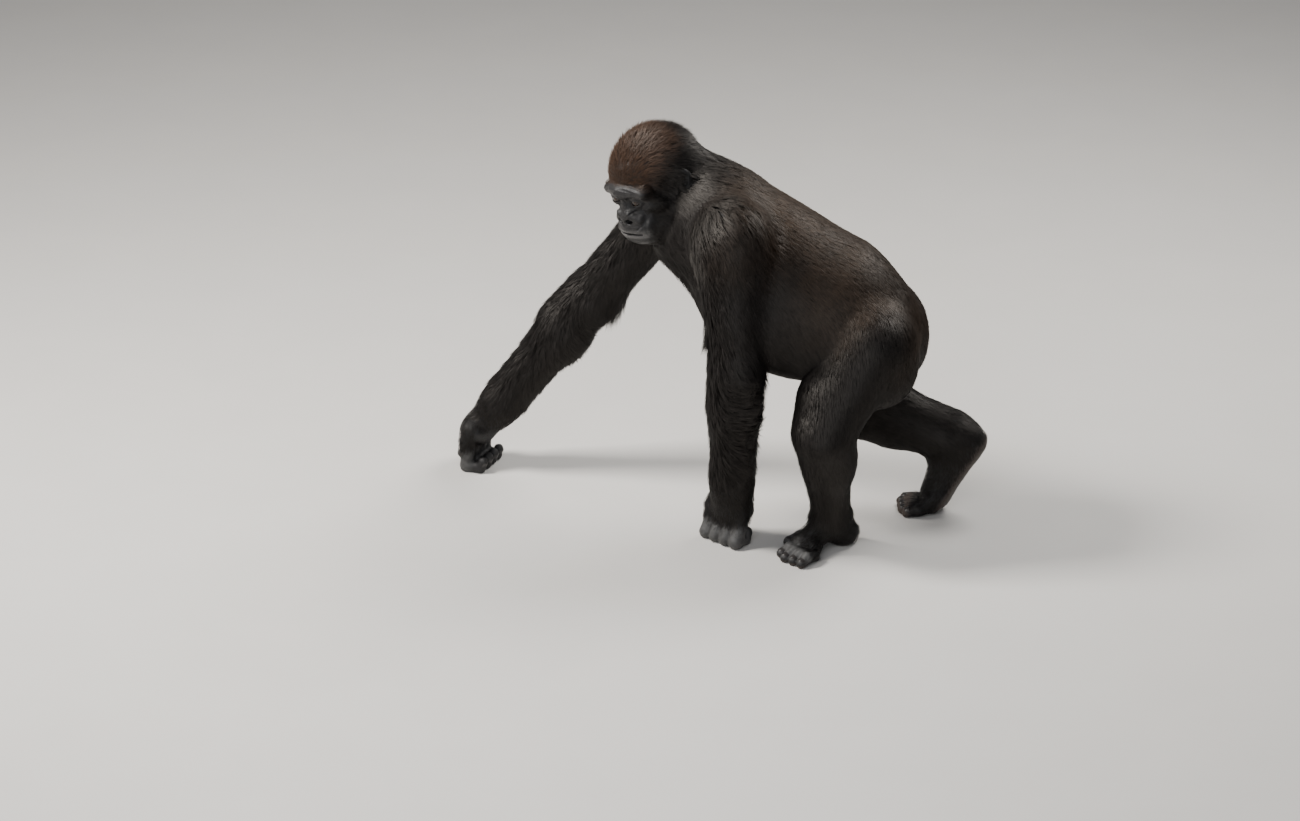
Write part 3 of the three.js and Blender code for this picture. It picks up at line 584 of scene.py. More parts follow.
def skin_folds(p, q, bare):
    """How far the bare skin stands in or out: bags under the eyes, furrows and cross creases over
    the nose, the groove round its wings, the fold from there to the mouth's corner, lip wrinkles
    and a general unevenness."""
    side, front, mouth = np.abs(q[:, 0]), q[:, 1], over_mouth(q)
    up = drawn_face(p)[:, 2]
    arc = up + 0.022 * (side - 26) ** 2
    reach = smooth(22, 12, np.abs(side - 27)) * smooth(35, 52, front)
    bags = 0.9 * groove(arc + 20, 3.4) - 1.0 * groove(arc + 25, 2.2) - 0.5 * groove(arc + 31, 2.4)
    fold = bags * reach
    between_eyes = smooth(50, 64, front) * smooth(16, 8, np.abs(up + 2))
    fold -= 1.1 * groove(side - 5.5, 1.8) * between_eyes
    cross = smooth(10, 4, side) * smooth(10, 4, np.abs(up + 12)) * smooth(50, 64, front)
    fold -= 0.55 * ripple(up * 1.25) * cross
    wing = np.sqrt((side - 16) ** 2 + 0.8 * (up + 40) ** 2)
    fold -= 1.5 * groove(wing - 20.5, 2.2) * smooth(14, 22, side) * smooth(45, 58, front)
    line = side - 38 - 0.12 * (up + 50) - 0.006 * (up + 50) ** 2
    fold -= 1.0 * groove(line, 2.4) * smooth(30, 18, np.abs(up + 52)) * smooth(20, 36, front)
    fold -= 0.35 * ripple(side * 1.7) * smooth(17, 6, np.abs(mouth)) * smooth(40, 56, front)
    fold -= 0.8 * groove(mouth - 10.5, 1.6) * smooth(48, 62, front) * smooth(34, 20, side)
    brow = smooth(50, 62, front) * smooth(8, 14, up)
    fold -= 0.6 * ripple(up * 1.1 + 0.05 * side**1.5) * brow
    return bare * (fold + noise(p, 4.5, 3) * 0.3 + noise(p, 9, 5) * 0.4)


def skin_distance(p):
    """The distance to the skin: the outline moved in by the coat's depth, with the ears, and with
    mouth, nostrils, lids and folds cut into it."""
    d = part_distances(p)
    bare = bareness(p, d)
    q = HEAD.local(p)
    skin = outline(d) + coat_depth(p, d, bare) - skin_folds(p, q, bare)
    near = (np.abs(skin) < 60) & (np.linalg.norm(q, axis=1) < 150)
    if near.any():
        s, fine = skin[near], folded(q[near])
        for side in (1, -1):
            s = soft_min(s, ear(p[near], side), 3)
        lips = fine + vec(0, 0, MOUTH["droop"]) * ((fine[:, 0] / MOUTH["radii"][0]) ** 2)[:, None]
        s = carve(s, egg(lips, MOUTH["at"], vec(MOUTH["radii"]) - vec(0, 0, 0.3)), 2)
        s = carve(s, egg(fine, NOSTRIL["at"], NOSTRIL["radii"]), 2.5)
        clear = EYE["radius"] + 0.25
        s = carve(s, egg(fine, EYE_AT["left"], (clear, clear, clear)), 0.6)
        opening = (EYE["side"], FISSURE["forward"], EYE["up"])
        s = carve(s, egg(fine, opening, vec(FISSURE["radii"]) + vec(0.8, 0, 0.9)), 1.2)
        skin[near] = s
    return np.maximum(skin, -p[:, 2])


CHUNK = 40000
POOL = ThreadPoolExecutor(4)


def chunks(count):
    """Slices that cut so many rows into chunks."""
    return [slice(i, i + CHUNK) for i in range(0, count, CHUNK)]


def in_chunks(function, p):
    """The function of many points, worked out a chunk at a time on several threads."""
    p = np.asarray(p, np.float32)
    pieces = [p[cut] for cut in chunks(len(p))]
    return np.concatenate(list(POOL.map(function, pieces))) if pieces else np.zeros(0, np.float32)


def gradient(function, p, step=0.6):
    """The direction in which the distance grows: differences at the corners of a tetrahedron."""
    corners = np.array([(1, -1, -1), (-1, -1, 1), (-1, 1, -1), (1, 1, 1)], np.float32)
    total = np.zeros_like(p)
    for corner in corners:
        total += corner * in_chunks(function, p + corner * step)[:, None]
    return total / (4 * step)


# ---------------------------------------------------------------------------
# The skin's mesh: one surface on a grid of cells that are halved where it needs finer ones
# ---------------------------------------------------------------------------

GRID_LOW = np.array([-280, -560, -30])
CELLS = np.array([56, 112, 88])  # of the largest size, along X, Y and Z
HALVINGS = 3
FINEST = 2**HALVINGS  # finest cells along the side of a largest one
ROUND_EDGE = np.array([(1, 1), (0, 1), (0, 0), (1, 0)])  # the four cells round an edge, in turn
HALF_DIAGONAL = 0.87  # from a cell's middle to its corner, as a share of its side
BASE, OFFSET = 4096, 8  # of the whole number that stands for a cell


def wanted_split(p):
    """How often a cell is halved at a point: three times on the face and ears, twice on the rest of
    the head, hands and feet."""
    q = HEAD.local(p)
    level = 2 * (np.linalg.norm(q - vec(0, 10, -10), axis=1) < 118)
    face = (np.linalg.norm((q - vec(0, 72, -38)) / vec(54, 62, 78), axis=1) < 1) & (q[:, 1] > 18)
    for side in (1, -1):
        face |= np.linalg.norm(ear_space(q, side) / vec(14, 20, 27), axis=1) < 1
    level[face] = 3
    for limb in LIMBS.values():
        level[np.linalg.norm(p - vec(limb["knuckle"][0], limb["knuckle"][1], 25), axis=1) < 72] = 2
    level[(p[:, 2] < 60) & (p[:, 1] > 100)] = 2
    return level


def near_cells(cell):
    """The largest cells that the skin may cross, by halving blocks of them and keeping those near
    the surface."""
    span = 8
    blocks = np.argwhere(np.ones(CELLS // span, bool)) * span
    while True:
        middles = GRID_LOW + (blocks + span / 2) * cell
        distances = in_chunks(skin_distance, middles)
        blocks = blocks[np.abs(distances) < HALF_DIAGONAL * span * cell * 1.35 + 3]
        if span == 1:
            return blocks
        span //= 2
        halves = np.array(list(np.ndindex(2, 2, 2))) * span
        blocks = (blocks[:, None] + halves).reshape(-1, 3)


def pack(cells):
    """One whole number for each cell, from the three that place it."""
    c = cells + OFFSET
    return (c[:, 0] * BASE + c[:, 1]) * BASE + c[:, 2]


def split_of(cells, cell):
    """How often the largest cell that holds each finest cell is halved."""
    large, back = np.unique(pack(cells // FINEST), return_inverse=True)
    places = np.stack([large // BASE**2, large // BASE % BASE, large % BASE], 1) - OFFSET
    middles = GRID_LOW + (places + 0.5) * cell
    return wanted_split(middles.astype(np.float32))[back]


def leaf_of(cells, cell):
    """The corner of the cell that each finest cell lies in, at that place's own cell size."""
    size = FINEST >> split_of(cells, cell)
    return cells // size[:, None] * size[:, None]


def moved(cells, axes, steps):
    """The cells moved by a step along each of those axes."""
    corners = cells.copy()
    corners[:, axes] += steps
    return corners


def skin_net(cell):
    """Points and triangles of the skin. Each edge of the grid that the skin crosses gives a face
    between the cells round it, and each cell's point is the mean of the crossings on its edges.
    The points are then moved onto the skin along its gradient."""
    fine = cell / FINEST
    large = near_cells(cell)
    level = wanted_split((GRID_LOW + (large + 0.5) * cell).astype(np.float32))
    crossings, quads = [], []
    for halvings in range(HALVINGS + 1):
        size = FINEST >> halvings
        inner = np.array(list(np.ndindex(*(FINEST // size,) * 3))) * size
        cells = (large[level == halvings][:, None] * FINEST + inner).reshape(-1, 3)
        if halvings:
            middles = GRID_LOW + (cells + size / 2) * fine
            keep = np.abs(in_chunks(skin_distance, middles)) < HALF_DIAGONAL * size * fine * 1.5 + 1
            cells = cells[keep]
        for axis in range(3):
            across = [(axis + 1) % 3, (axis + 2) % 3]
            starts = np.concatenate([moved(cells, across, step) for step in ROUND_EDGE * size])
            starts = starts[np.unique(pack(starts), return_index=True)[1]]
            round_it = [moved(starts, across, -step) for step in ROUND_EDGE * size]
            deepest = np.max([split_of(c, cell) for c in round_it], axis=0)
            starts, round_it = starts[deepest == halvings], [c[deepest == halvings] for c in round_it]
            ends = starts.copy()
            ends[:, axis] += size
            both = np.concatenate([starts, ends])
            _, first, back = np.unique(pack(both), return_index=True, return_inverse=True)
            values = in_chunks(skin_distance, GRID_LOW + both[first] * fine)[back]
            a, b = values[: len(starts)], values[len(starts) :]
            cut = (a < 0) != (b < 0)
            a, b, start, end = a[cut], b[cut], starts[cut], ends[cut]
            t = (a / (a - b))[:, None]
            crossings.append(GRID_LOW + (start * (1 - t) + end * t) * fine)
            leaves = np.stack([pack(leaf_of(c[cut], cell)) for c in round_it], 1)
            leaves[a > 0] = leaves[a > 0][:, ::-1]
            quads.append(leaves)
    crossings, quads = np.concatenate(crossings), np.concatenate(quads)
    _, ids = np.unique(quads, return_inverse=True)
    ids = ids.reshape(quads.shape)
    count = np.bincount(ids.ravel()).astype(float)
    points = np.stack(
        [np.bincount(ids.ravel(), np.repeat(crossings[:, i], 4)) / count for i in range(3)], 1
    ).astype(np.float32)
    points = onto_skin(points, 0.6 * fine)
    return points, without_doubles(halved(ids, points))


def onto_skin(points, reach):
    """The points moved onto the skin along its gradient, twice and by that reach at most."""
    for _ in range(2):
        slope = gradient(skin_distance, points)
        steepness = np.maximum(np.einsum("ij,ij->i", slope, slope), 0.2)
        move = -slope * (in_chunks(skin_distance, points) / steepness)[:, None]
        length = np.linalg.norm(move, axis=1, keepdims=True)
        points = points + move * np.minimum(1, reach / np.maximum(length, 1e-9))
    points[:, 2] = np.maximum(points[:, 2], 0)
    return points


def halved(quads, points):
    """Each quad as two triangles, cut along its shorter diagonal, without those that have no area
    because two of their corners are one point."""
    triangles = np.concatenate([quads[:, [0, 1, 2]], quads[:, [0, 2, 3]]])
    other = np.concatenate([quads[:, [0, 1, 3]], quads[:, [1, 2, 3]]])
    first = np.linalg.norm(points[quads[:, 0]] - points[quads[:, 2]], axis=1)
    second = np.linalg.norm(points[quads[:, 1]] - points[quads[:, 3]], axis=1)
    triangles = np.where(np.tile(first <= second, 2)[:, None], triangles, other)
    return triangles[np.all(triangles != np.roll(triangles, 1, axis=1), axis=1)]


def without_doubles(triangles):
    """The triangles without those that lie back to back on the same three points."""
    corners = np.sort(triangles, axis=1).astype(np.int64)
    keys = (corners[:, 0] << 42) + (corners[:, 1] << 21) + corners[:, 2]
    _, back, count = np.unique(keys, return_inverse=True, return_counts=True)
    return triangles[count[back] == 1]


# ---------------------------------------------------------------------------
# Markings, painted light and the lie of the coat
# ---------------------------------------------------------------------------

BLACK = vec(0.0090, 0.0078, 0.0075)
BROWN_BACK = vec(0.036, 0.0222, 0.0133)
RED_CROWN = vec(0.050, 0.0272, 0.0170)
# the grey of the painted sheen on the nape, the front of the shoulders and the back of the head
NAPE_SHEEN_GREY = vec(0.040, 0.0365, 0.0330)
GREY_SKIN = vec(0.0118, 0.0110, 0.0112)
# the lips' colour, lighter as a painted highlight
LIT_LIP_SKIN = vec(0.080, 0.076, 0.074)
# the colour of the backs of fingers and the upper side of the left foot, lighter as a painted highlight
LIT_DIGIT_SKIN = vec(0.059, 0.0582, 0.0570)
SOLE_SKIN = vec(0.045, 0.033, 0.027)
PUPIL = vec(0.002, 0.002, 0.002)
IRIS_MIDDLE = vec(0.034, 0.0145, 0.0070)
IRIS_EDGE = vec(0.010, 0.0050, 0.0032)
EYE_WHITE = vec(0.016, 0.011, 0.009)
NAIL_HORN = (0.022, 0.019, 0.018, 1)


def mix(a, b, share):
    """The colours a and b mixed point by point."""
    return a * (1 - share[:, None]) + b * share[:, None]


# Painted sheen: the coat is painted a lighter grey along a line from the nape over the front edge of each
# shoulder, and round a point on the back of the head
NAPE = (40, 32, 698)
SHEEN_LINE = ((-20, -10, 85), (10, -36, 48), (20, -57, 19), (30, -59, -29))  # from the shoulder's middle
OCCIPUT = (52, -62, 24)  # in the head's frame


def to_sheen_line(p):
    """The distance to the line of painted grey sheen that runs from the nape over the front edge of each
    shoulder.
    """
    away = []
    for limb in LIMBS.values():
        outwards = vec(limb["side"], 1, 1)
        line = [vec(limb["shoulder"]) + vec(point) * outwards for point in SHEEN_LINE]
        line.insert(0, vec(NAPE) * outwards)
        away += [bone(p, a, b, 0, 0) for a, b in zip(line, line[1:])]
    return np.min(away, axis=0)


def coat_colour(p, d):
    """The coat's colours: nearly black, browner along the back and rump, reddish on the crown, with a
    painted grey sheen on the nape, the back of the head and the front of the shoulders."""
    q = folded(HEAD.local(p))
    height = (p[:, 2] - (640 - 0.38 * p[:, 1])) / 120
    on_trunk = smooth(30, 0, nearest(d, "trunk", "neck"))
    back = smooth(-0.9, 0.5, height) * smooth(-20, 90, p[:, 1]) * on_trunk
    shoulder = smooth(500, 600, p[:, 2]) * smooth(-30, 70, p[:, 1]) * (1 - on_trunk)
    back = np.maximum(back, 0.35 * shoulder)
    flank = smooth(120, 200, p[:, 1]) * smooth(-1.6, -0.4, height) * on_trunk
    patches = 0.5 + 0.5 * noise(p, 38, 11)
    colour = mix(BLACK, BROWN_BACK, np.clip(np.maximum(back, 0.6 * flank) * (0.65 + 0.5 * patches), 0, 1))
    # painted sheen: lighter grey on the top of the neck, along the sheen line and on the back of the head
    painted_sheen = 0.35 * smooth(25, -5, d["neck"]) * smooth(600, 660, p[:, 2]) * smooth(-5, 20, d["head"])
    painted_sheen = np.maximum(painted_sheen, smooth(42, 6, to_sheen_line(p)) * smooth(0, 16, d["head"]))
    painted_sheen = np.maximum(painted_sheen, 0.6 * smooth(48, 8, np.linalg.norm(q - vec(OCCIPUT), axis=1)))
    colour = mix(colour, NAPE_SHEEN_GREY, np.clip(painted_sheen * (0.5 + 0.6 * patches), 0, 1))
    above = 0.4 * np.maximum(q[:, 2] - 45, 0)
    crown = smooth(6, 48, q[:, 2] + 0.25 * q[:, 1]) * smooth(-50, 2, q[:, 1] + above)
    crown *= smooth(70, 32, q[:, 0] + 0.5 * np.maximum(40 - q[:, 2], 0) - 0.3 * q[:, 1] - above)
    crown *= smooth(20, 5, d["head"])
    colour = mix(colour, RED_CROWN, np.clip(crown * (0.7 + 0.3 * patches), 0, 1))
    return colour * (1 + 0.12 * noise(p, 14, 12))[:, None]


def skin_colour(p, d, bare):
    """The skin's colours: dark grey, browner soles, and the coat's own colour, darkened, where the coat
    covers it. Lips, the top of the brow and the backs of the digits are painted lighter as a painted
    highlight, and the ears and the gaps between the fingers darker as painted shade."""
    q = HEAD.local(p)
    colour = np.tile(GREY_SKIN, (len(p), 1)) * (1 + 0.15 * noise(p, 11, 21))[:, None]
    over, on_head = over_mouth(q), smooth(14, 0, d["head"])
    # painted highlight: the lips are painted lighter, and the upper lip less so, as painted shade under
    # the nose
    lips = smooth(12, 5, np.abs(over)) * smooth(50, 60, q[:, 1] + 0.3 * np.abs(q[:, 0])) * on_head
    lips *= 1 - 0.45 * smooth(0, 3, over)
    colour = mix(colour, LIT_LIP_SKIN, lips)
    # painted highlight: the top of the brow is painted lighter
    brow = smooth(0, 9, q[:, 2]) * smooth(46, 60, q[:, 1]) * on_head
    colour *= (1 + 0.35 * brow)[:, None]
    # painted shade: the ears are painted darker
    for side in (1, -1):
        colour *= (1 - 0.4 * smooth(12, 4, ear(p, side)))[:, None]
    under = smooth(8, 2, p[:, 2]) * smooth(14, 0, nearest(d, "foot_left", "hand_left"))
    pushing = smooth(14, 0, d["foot_right"]) * bare
    colour = mix(colour, SOLE_SKIN, np.clip(np.maximum(under, pushing), 0, 1))
    # painted highlight: the upper side of the left foot and the backs of the fingers are painted lighter
    lit_tops = smooth(12, 0, d["foot_left"]) * smooth(9, 16, p[:, 2])
    shade_between_fingers = np.zeros(len(p), np.float32)
    for name, limb in LIMBS.items():
        h = hand_frame(limb).local(p)
        backs = smooth(-12, 2, h[:, 1]) * smooth(66, 46, h[:, 2] + 4 * noise(p, 7, 23))
        backs *= smooth(12, 0, d[f"hand_{name}"])
        lit_tops = np.maximum(lit_tops, backs)
        # painted shade: darker in the gaps between the fingers
        over_fingers = h[:, 0] / FINGER["spacing"]
        inner = np.cos(np.pi * over_fingers) ** 6 * (np.abs(over_fingers) < 1.3)
        shade_between_fingers = np.maximum(shade_between_fingers, inner * backs)
    lit_digits_colour = LIT_DIGIT_SKIN * (1 + 0.3 * noise(p, 5, 22))[:, None]
    colour = mix(colour, lit_digits_colour, 0.9 * lit_tops) * (1 - 0.55 * shade_between_fingers)[:, None]
    return mix(coat_colour(p, d) * 0.45, colour, np.clip(bare * 1.4, 0, 1))


def wetness(p, d):
    """How much the bare skin shines: most on the lips and the rims of the nostrils, a little on
    the brow."""
    q = folded(HEAD.local(p))
    lips = smooth(13, 5, np.abs(over_mouth(q))) * smooth(50, 60, q[:, 1] + 0.3 * q[:, 0])
    rims = smooth(11, 4, np.linalg.norm((q - vec(NOSTRIL["at"])) * vec(1, 0.6, 1), axis=1))
    brow = 0.15 * smooth(-2, 8, q[:, 2]) * smooth(40, 56, q[:, 1])
    return np.max([lips, 0.8 * rims, brow], axis=0) * smooth(14, 0, d["head"])


def coat_lie(p, d, normal):
    """The way the hair points: each part has its own, and they mix where parts meet. It is then
    laid flat on the skin."""
    q = HEAD.local(p)
    x = q[:, 0]
    over = np.stack([0.25 * x / 70, -0.9 + 0 * x, -0.25 - 0.7 * smooth(30, -40, q[:, 2])], 1)
    over[:, 2] += 0.5 * smooth(20, 70, q[:, 1]) * smooth(0, 40, q[:, 2])
    ways = {
        "head": HEAD.turn(over),
        "neck": vec(0, 0.8, -0.35) + np.stack([0.5 * p[:, 0] / 90, 0 * x, 0 * x], 1),
        "trunk": vec(0, 0.9, -0.42) + np.stack([0 * x, 0 * x, -0.55 * np.abs(p[:, 0]) / 110], 1),
    }
    for name, limb in LIMBS.items():
        shoulder, elbow, wrist = limb["shoulder"], limb["elbow"], limb["wrist"]
        hip, knee, ankle = limb["hip"], limb["knee"], limb["ankle"]
        down, fringe = towards(elbow, wrist), unit(vec(limb["arm_fringe"]))
        along = (p - vec(elbow)) @ down
        on_fringe = smooth(-0.7, 0.3, normal @ fringe)
        turn = np.radians(25 + (85 - 50 * smooth(20, 190, along)) * on_fringe)[:, None]
        fore = fringe * np.sin(turn) + down * np.cos(turn)
        share = smooth(-60, 40, along)[:, None]
        upper = towards(shoulder, elbow)
        top = 1 - smooth(-60, 20, (p - vec(shoulder)) @ upper)[:, None]
        upper = upper + 0.4 * fringe + top * vec(limb["side"] * 0.5, 0.8, 0)
        ways[f"arm_{name}"] = upper * (1 - share) + fore * share
        share = smooth(-30, 30, (p - vec(knee)) @ towards(knee, ankle))[:, None]
        thigh = towards(hip, knee) + vec(0, 0.5, 0)
        shin = towards(knee, ankle) + vec(0, 0.15, -0.1)
        ways[f"leg_{name}"] = thigh * (1 - share) + shin * share
        ways[f"hand_{name}"] = np.tile(hand_frame(limb).turn((0, 0.5, -0.9)), (len(p), 1))
    ways["foot_left"] = np.tile(flat_foot_frame().turn((0, 0.9, -0.4)), (len(p), 1))
    ways["foot_right"] = np.tile(towards(RIGHT["heel"], RIGHT["ball"]), (len(p), 1))
    least = nearest(d, *ways)
    total = np.zeros((len(p), 3), np.float32)
    for name, way in ways.items():
        total += unit(way) * np.exp(-(d[name] - least) / 20)[:, None]
    swirl = np.stack([noise(p, 34, seed) for seed in (31, 32, 33)], 1)
    tuft = np.stack([noise(p, 9, seed) for seed in (34, 35, 36)], 1)
    stray = (1.3 - sleekness(d))[:, None]
    total = unit(total) + 0.17 * stray * swirl + 0.14 * stray * tuft
    total -= normal * np.einsum("ij,ij->i", total, normal)[:, None]
    return unit(total)


def sleekness(d):
    """How smoothly the hair lies: 1 on the back, flanks and thighs, less on arms, neck and head."""
    rough = nearest(d, "arm_left", "arm_right", "neck", "head")
    smoother = nearest(d, "trunk", "leg_left", "leg_right")
    return 0.35 + 0.65 * smooth(-25, 15, rough - smoother)


# The hair's length on the trunk, what the arms add to it, its length on the head, how much of that
# it loses towards the face, and its length beside hands and feet
HAIR = dict(trunk=30, arms=6, head=21, to_face=11, ends=9)


def coat_length(p, d, bare):
    """The length of the hair: longest on the arms and shoulders, short towards face, hands and
    feet."""
    length, on_head = HAIR["trunk"] + HAIR["arms"] * arm_share(d), head_share(d)
    to_face = smooth(20, 66, HEAD.local(p)[:, 1])
    length = length * (1 - on_head) + on_head * (HAIR["head"] - HAIR["to_face"] * to_face)
    for name in ENDS:
        near = smooth(26, -6, d[name])
        length = length * (1 - near) + near * HAIR["ends"]
    return length * (1 - 0.75 * bare) * (1 + 0.18 * noise(p, 22, 41)) * (1 + 0.3 * hanging(p))


def standing(p, d):
    """How far the tips stand off, as a share of the hair's length: most on the crown, a little
    along the arms."""
    crown = smooth(10, 60, HEAD.local(p)[:, 2]) * smooth(8, -4, d["head"] - nearest(d, "neck", "trunk"))
    return 0.02 + 0.18 * crown + 0.04 * arm_share(d)


# Where longer hair hangs free: a place, how far it reaches and how strongly it hangs
HANGING = (
    ((-132, -186, 372), 34, 1.0),  # inside the reaching arm's elbow
    ((128, 12, 432), 30, 0.8),  # in front of the standing arm
    ((0, -72, 500), 60, 0.6),  # the throat's fringe
    ((146, 118, 372), 34, 0.7),  # behind the standing arm's elbow
)


def hanging(p):
    """How freely the hair hangs, from 0 to 1."""
    total = np.zeros(len(p), np.float32)
    for centre, reach, strength in HANGING:
        away = np.linalg.norm(p - vec(centre), axis=1)
        total = np.maximum(total, strength * smooth(1.3 * reach, 0.4 * reach, away))
    return total


# ---------------------------------------------------------------------------
# Meshes and materials
# ---------------------------------------------------------------------------


def new_mesh(name, points, triangles):
    """A mesh object at the origin from millimetre points and triangles."""
    mesh = bpy.data.meshes.new(name)
    placed = ((points + SHIFT) * MM).astype(np.float32)
    mesh.vertices.add(len(points))
    mesh.vertices.foreach_set("co", placed.ravel())
    mesh.loops.add(len(triangles) * 3)
    mesh.loops.foreach_set("vertex_index", triangles.astype(np.int32).ravel())
    mesh.polygons.add(len(triangles))
    mesh.polygons.foreach_set("loop_start", np.arange(0, len(triangles) * 3, 3, dtype=np.int32))
    mesh.polygons.foreach_set("use_smooth", np.ones(len(triangles), bool))
    mesh.update(calc_edges=True)
    mesh.validate()
    piece = bpy.data.objects.new(name, mesh)
    bpy.context.scene.collection.objects.link(piece)
    return piece


def set_colour(piece, name, colours):
    """A colour for each point of a piece, in an attribute of that name."""
    rgba = np.ones((len(colours), 4), np.float32)
    rgba[:, :3] = np.clip(colours, 0, 1)
    layer = piece.data.color_attributes.new(name, "FLOAT_COLOR", "POINT")
    layer.data.foreach_set("color", rgba.ravel())


def set_number(piece, name, values):
    """A number for each point of a piece, in an attribute of that name."""
    layer = piece.data.attributes.new(name, "FLOAT", "POINT")
    layer.data.foreach_set("value", values.astype(np.float32))


def settle(piece, material, nodes=()):
    """Gives a piece its material, its finish's slot, its body and the nodes it stands for."""
    piece.data.materials.append(material)
    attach(piece, BODY)
    if nodes:
        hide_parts(*nodes)


def new_material(name, finish):
    """A material whose shader has that finish, and short ways to add a node and a link."""
    material = bpy.data.materials.new(name)
    material.use_nodes = True
    tree = material.node_tree
    shader = tree.nodes["Principled BSDF"]
    for key, value in finish.items():
        shader.inputs[key].default_value = value

    def node(kind, **values):
        added = tree.nodes.new(kind)
        for key, value in values.items():
            if key in added.inputs:
                added.inputs[key].default_value = value
            else:
                setattr(added, key, value)
        return added

    return material, shader, node, tree.links.new


def coat_material():
    """Hair: the coat's colours with their painted sheen and shade, finely streaked, with a soft gloss."""
    finish = {"Roughness": 0.5, "Specular IOR Level": 0.22, "Specular Tint": (1, 0.93, 0.85, 1)}
    material, shader, node, link = new_material("gorilla_hair", finish)
    point_colour = node("ShaderNodeAttribute", attribute_name="point_colour")
    link(point_colour.outputs["Color"], shader.inputs["Base Color"])
    return material


def skin_material():
    """Bare skin: its colours with their painted highlight and shade, with mottling, and pores and creases
    as bump.
    """
    material, shader, node, link = new_material("gorilla_skin", {"Specular IOR Level": 0.34})

    def multiply_add(value, factor, addend):
        added = node("ShaderNodeMath", operation="MULTIPLY_ADD")
        added.inputs[1].default_value = factor
        link(value, added.inputs[0])
        link(addend, added.inputs[2])
        return added.outputs["Value"]

    place = node("ShaderNodeTexCoord").outputs["Object"]
    point_colour = node("ShaderNodeAttribute", attribute_name="point_colour")
    mottle = node("ShaderNodeTexNoise", Scale=90.0, Detail=4.0, Roughness=0.6)
    link(place, mottle.inputs["Vector"])
    shade = node("ShaderNodeMapRange", **{"To Min": 0.7, "To Max": 1.3})
    link(mottle.outputs["Fac"], shade.inputs["Value"])
    tint = node("ShaderNodeVectorMath", operation="SCALE")
    link(point_colour.outputs["Color"], tint.inputs[0])
    link(shade.outputs["Result"], tint.inputs["Scale"])
    link(tint.outputs["Vector"], shader.inputs["Base Color"])
    # creases part the skin into small plates, whose edges are warped by the mottling
    warp = node("ShaderNodeVectorMath", operation="SCALE", Scale=0.004)
    link(mottle.outputs["Color"], warp.inputs[0])
    moved = node("ShaderNodeVectorMath", operation="ADD")
    link(place, moved.inputs[0])
    link(warp.outputs["Vector"], moved.inputs[1])
    plates = node("ShaderNodeTexVoronoi", feature="DISTANCE_TO_EDGE", Scale=640.0)
    link(moved.outputs["Vector"], plates.inputs["Vector"])
    edges = node(
        "ShaderNodeMapRange", interpolation_type="SMOOTHSTEP", **{"From Max": 0.16, "To Max": 0.55}
    )
    link(plates.outputs["Distance"], edges.inputs["Value"])
    grain = node("ShaderNodeTexNoise", Scale=900.0, Detail=3.0, Roughness=0.6)
    link(place, grain.inputs["Vector"])
    # level wrinkles, as noise drawn out sideways
    drawn = node("ShaderNodeMapping", Scale=(70, 70, 420))
    link(place, drawn.inputs["Vector"])
    wrinkles = node("ShaderNodeTexNoise", Scale=1.0, Detail=2.0, Distortion=0.4)
    link(drawn.outputs["Vector"], wrinkles.inputs["Vector"])
    height = multiply_add(grain.outputs["Fac"], 0.35, edges.outputs["Result"])
    height = multiply_add(wrinkles.outputs["Fac"], 2.2, height)
    bump = node("ShaderNodeBump", Strength=0.4, Distance=0.0005)
    link(height, bump.inputs["Height"])
    link(bump.outputs["Normal"], shader.inputs["Normal"])
    rough = node("ShaderNodeMapRange", **{"To Min": 0.42, "To Max": 0.62})
    link(mottle.outputs["Fac"], rough.inputs["Value"])
    wet = node("ShaderNodeAttribute", attribute_name="wet")
    gloss = multiply_add(wet.outputs["Fac"], -0.22, rough.outputs["Result"])
    link(gloss, shader.inputs["Roughness"])
    return material


def nail_material():
    """Nails: nearly black horn with a low gloss."""
    return new_material("gorilla_nail", {"Base Color": NAIL_HORN, "Roughness": 0.34})[0]


def eye_material():
    """A wet eyeball, coloured by its own attribute."""
    finish = {"Roughness": 0.07, "Specular IOR Level": 0.35}
    material, shader, node, link = new_material("gorilla_eye", finish)
    point_colour = node("ShaderNodeAttribute", attribute_name="point_colour")
    link(point_colour.outputs["Color"], shader.inputs["Base Color"])
    return material


# ---------------------------------------------------------------------------
# Settings
# ---------------------------------------------------------------------------


class GorillaSettings(bpy.types.PropertyGroup):
    """What a user may change."""

    cell: FloatProperty(
        name="Cell", description="Side of the skin's largest cells, in millimetres", default=10.0, min=5.0
    )
    tufts: IntProperty(name="Tufts", description="How many tufts the coat has", default=226000, min=1000)
    tuft_width: FloatProperty(
        name="Tuft width", description="Greatest width of a tuft, in millimetres", default=1.6, min=0.5
    )
    floor_colour: FloatVectorProperty(
        name="Floor", description="Colour of the floor", subtype="COLOR", default=(0.62, 0.6, 0.57)
    )
    key_power: FloatProperty(
        name="Key light", description="Power of the main light", default=150.0, min=0.0, unit="POWER"
    )


FLESH = [
    "head",
    "neck",
    "chest",
    "belly",
    "pelvis",
    *(
        f"{part}_{side}"
        for part in ("ear", "upper_arm", "forearm", "hand", "thigh", "shin", "foot")
        for side in LIMBS
    ),
]

made = {}  # what one operator leaves for another: the skin's points, triangles and normals


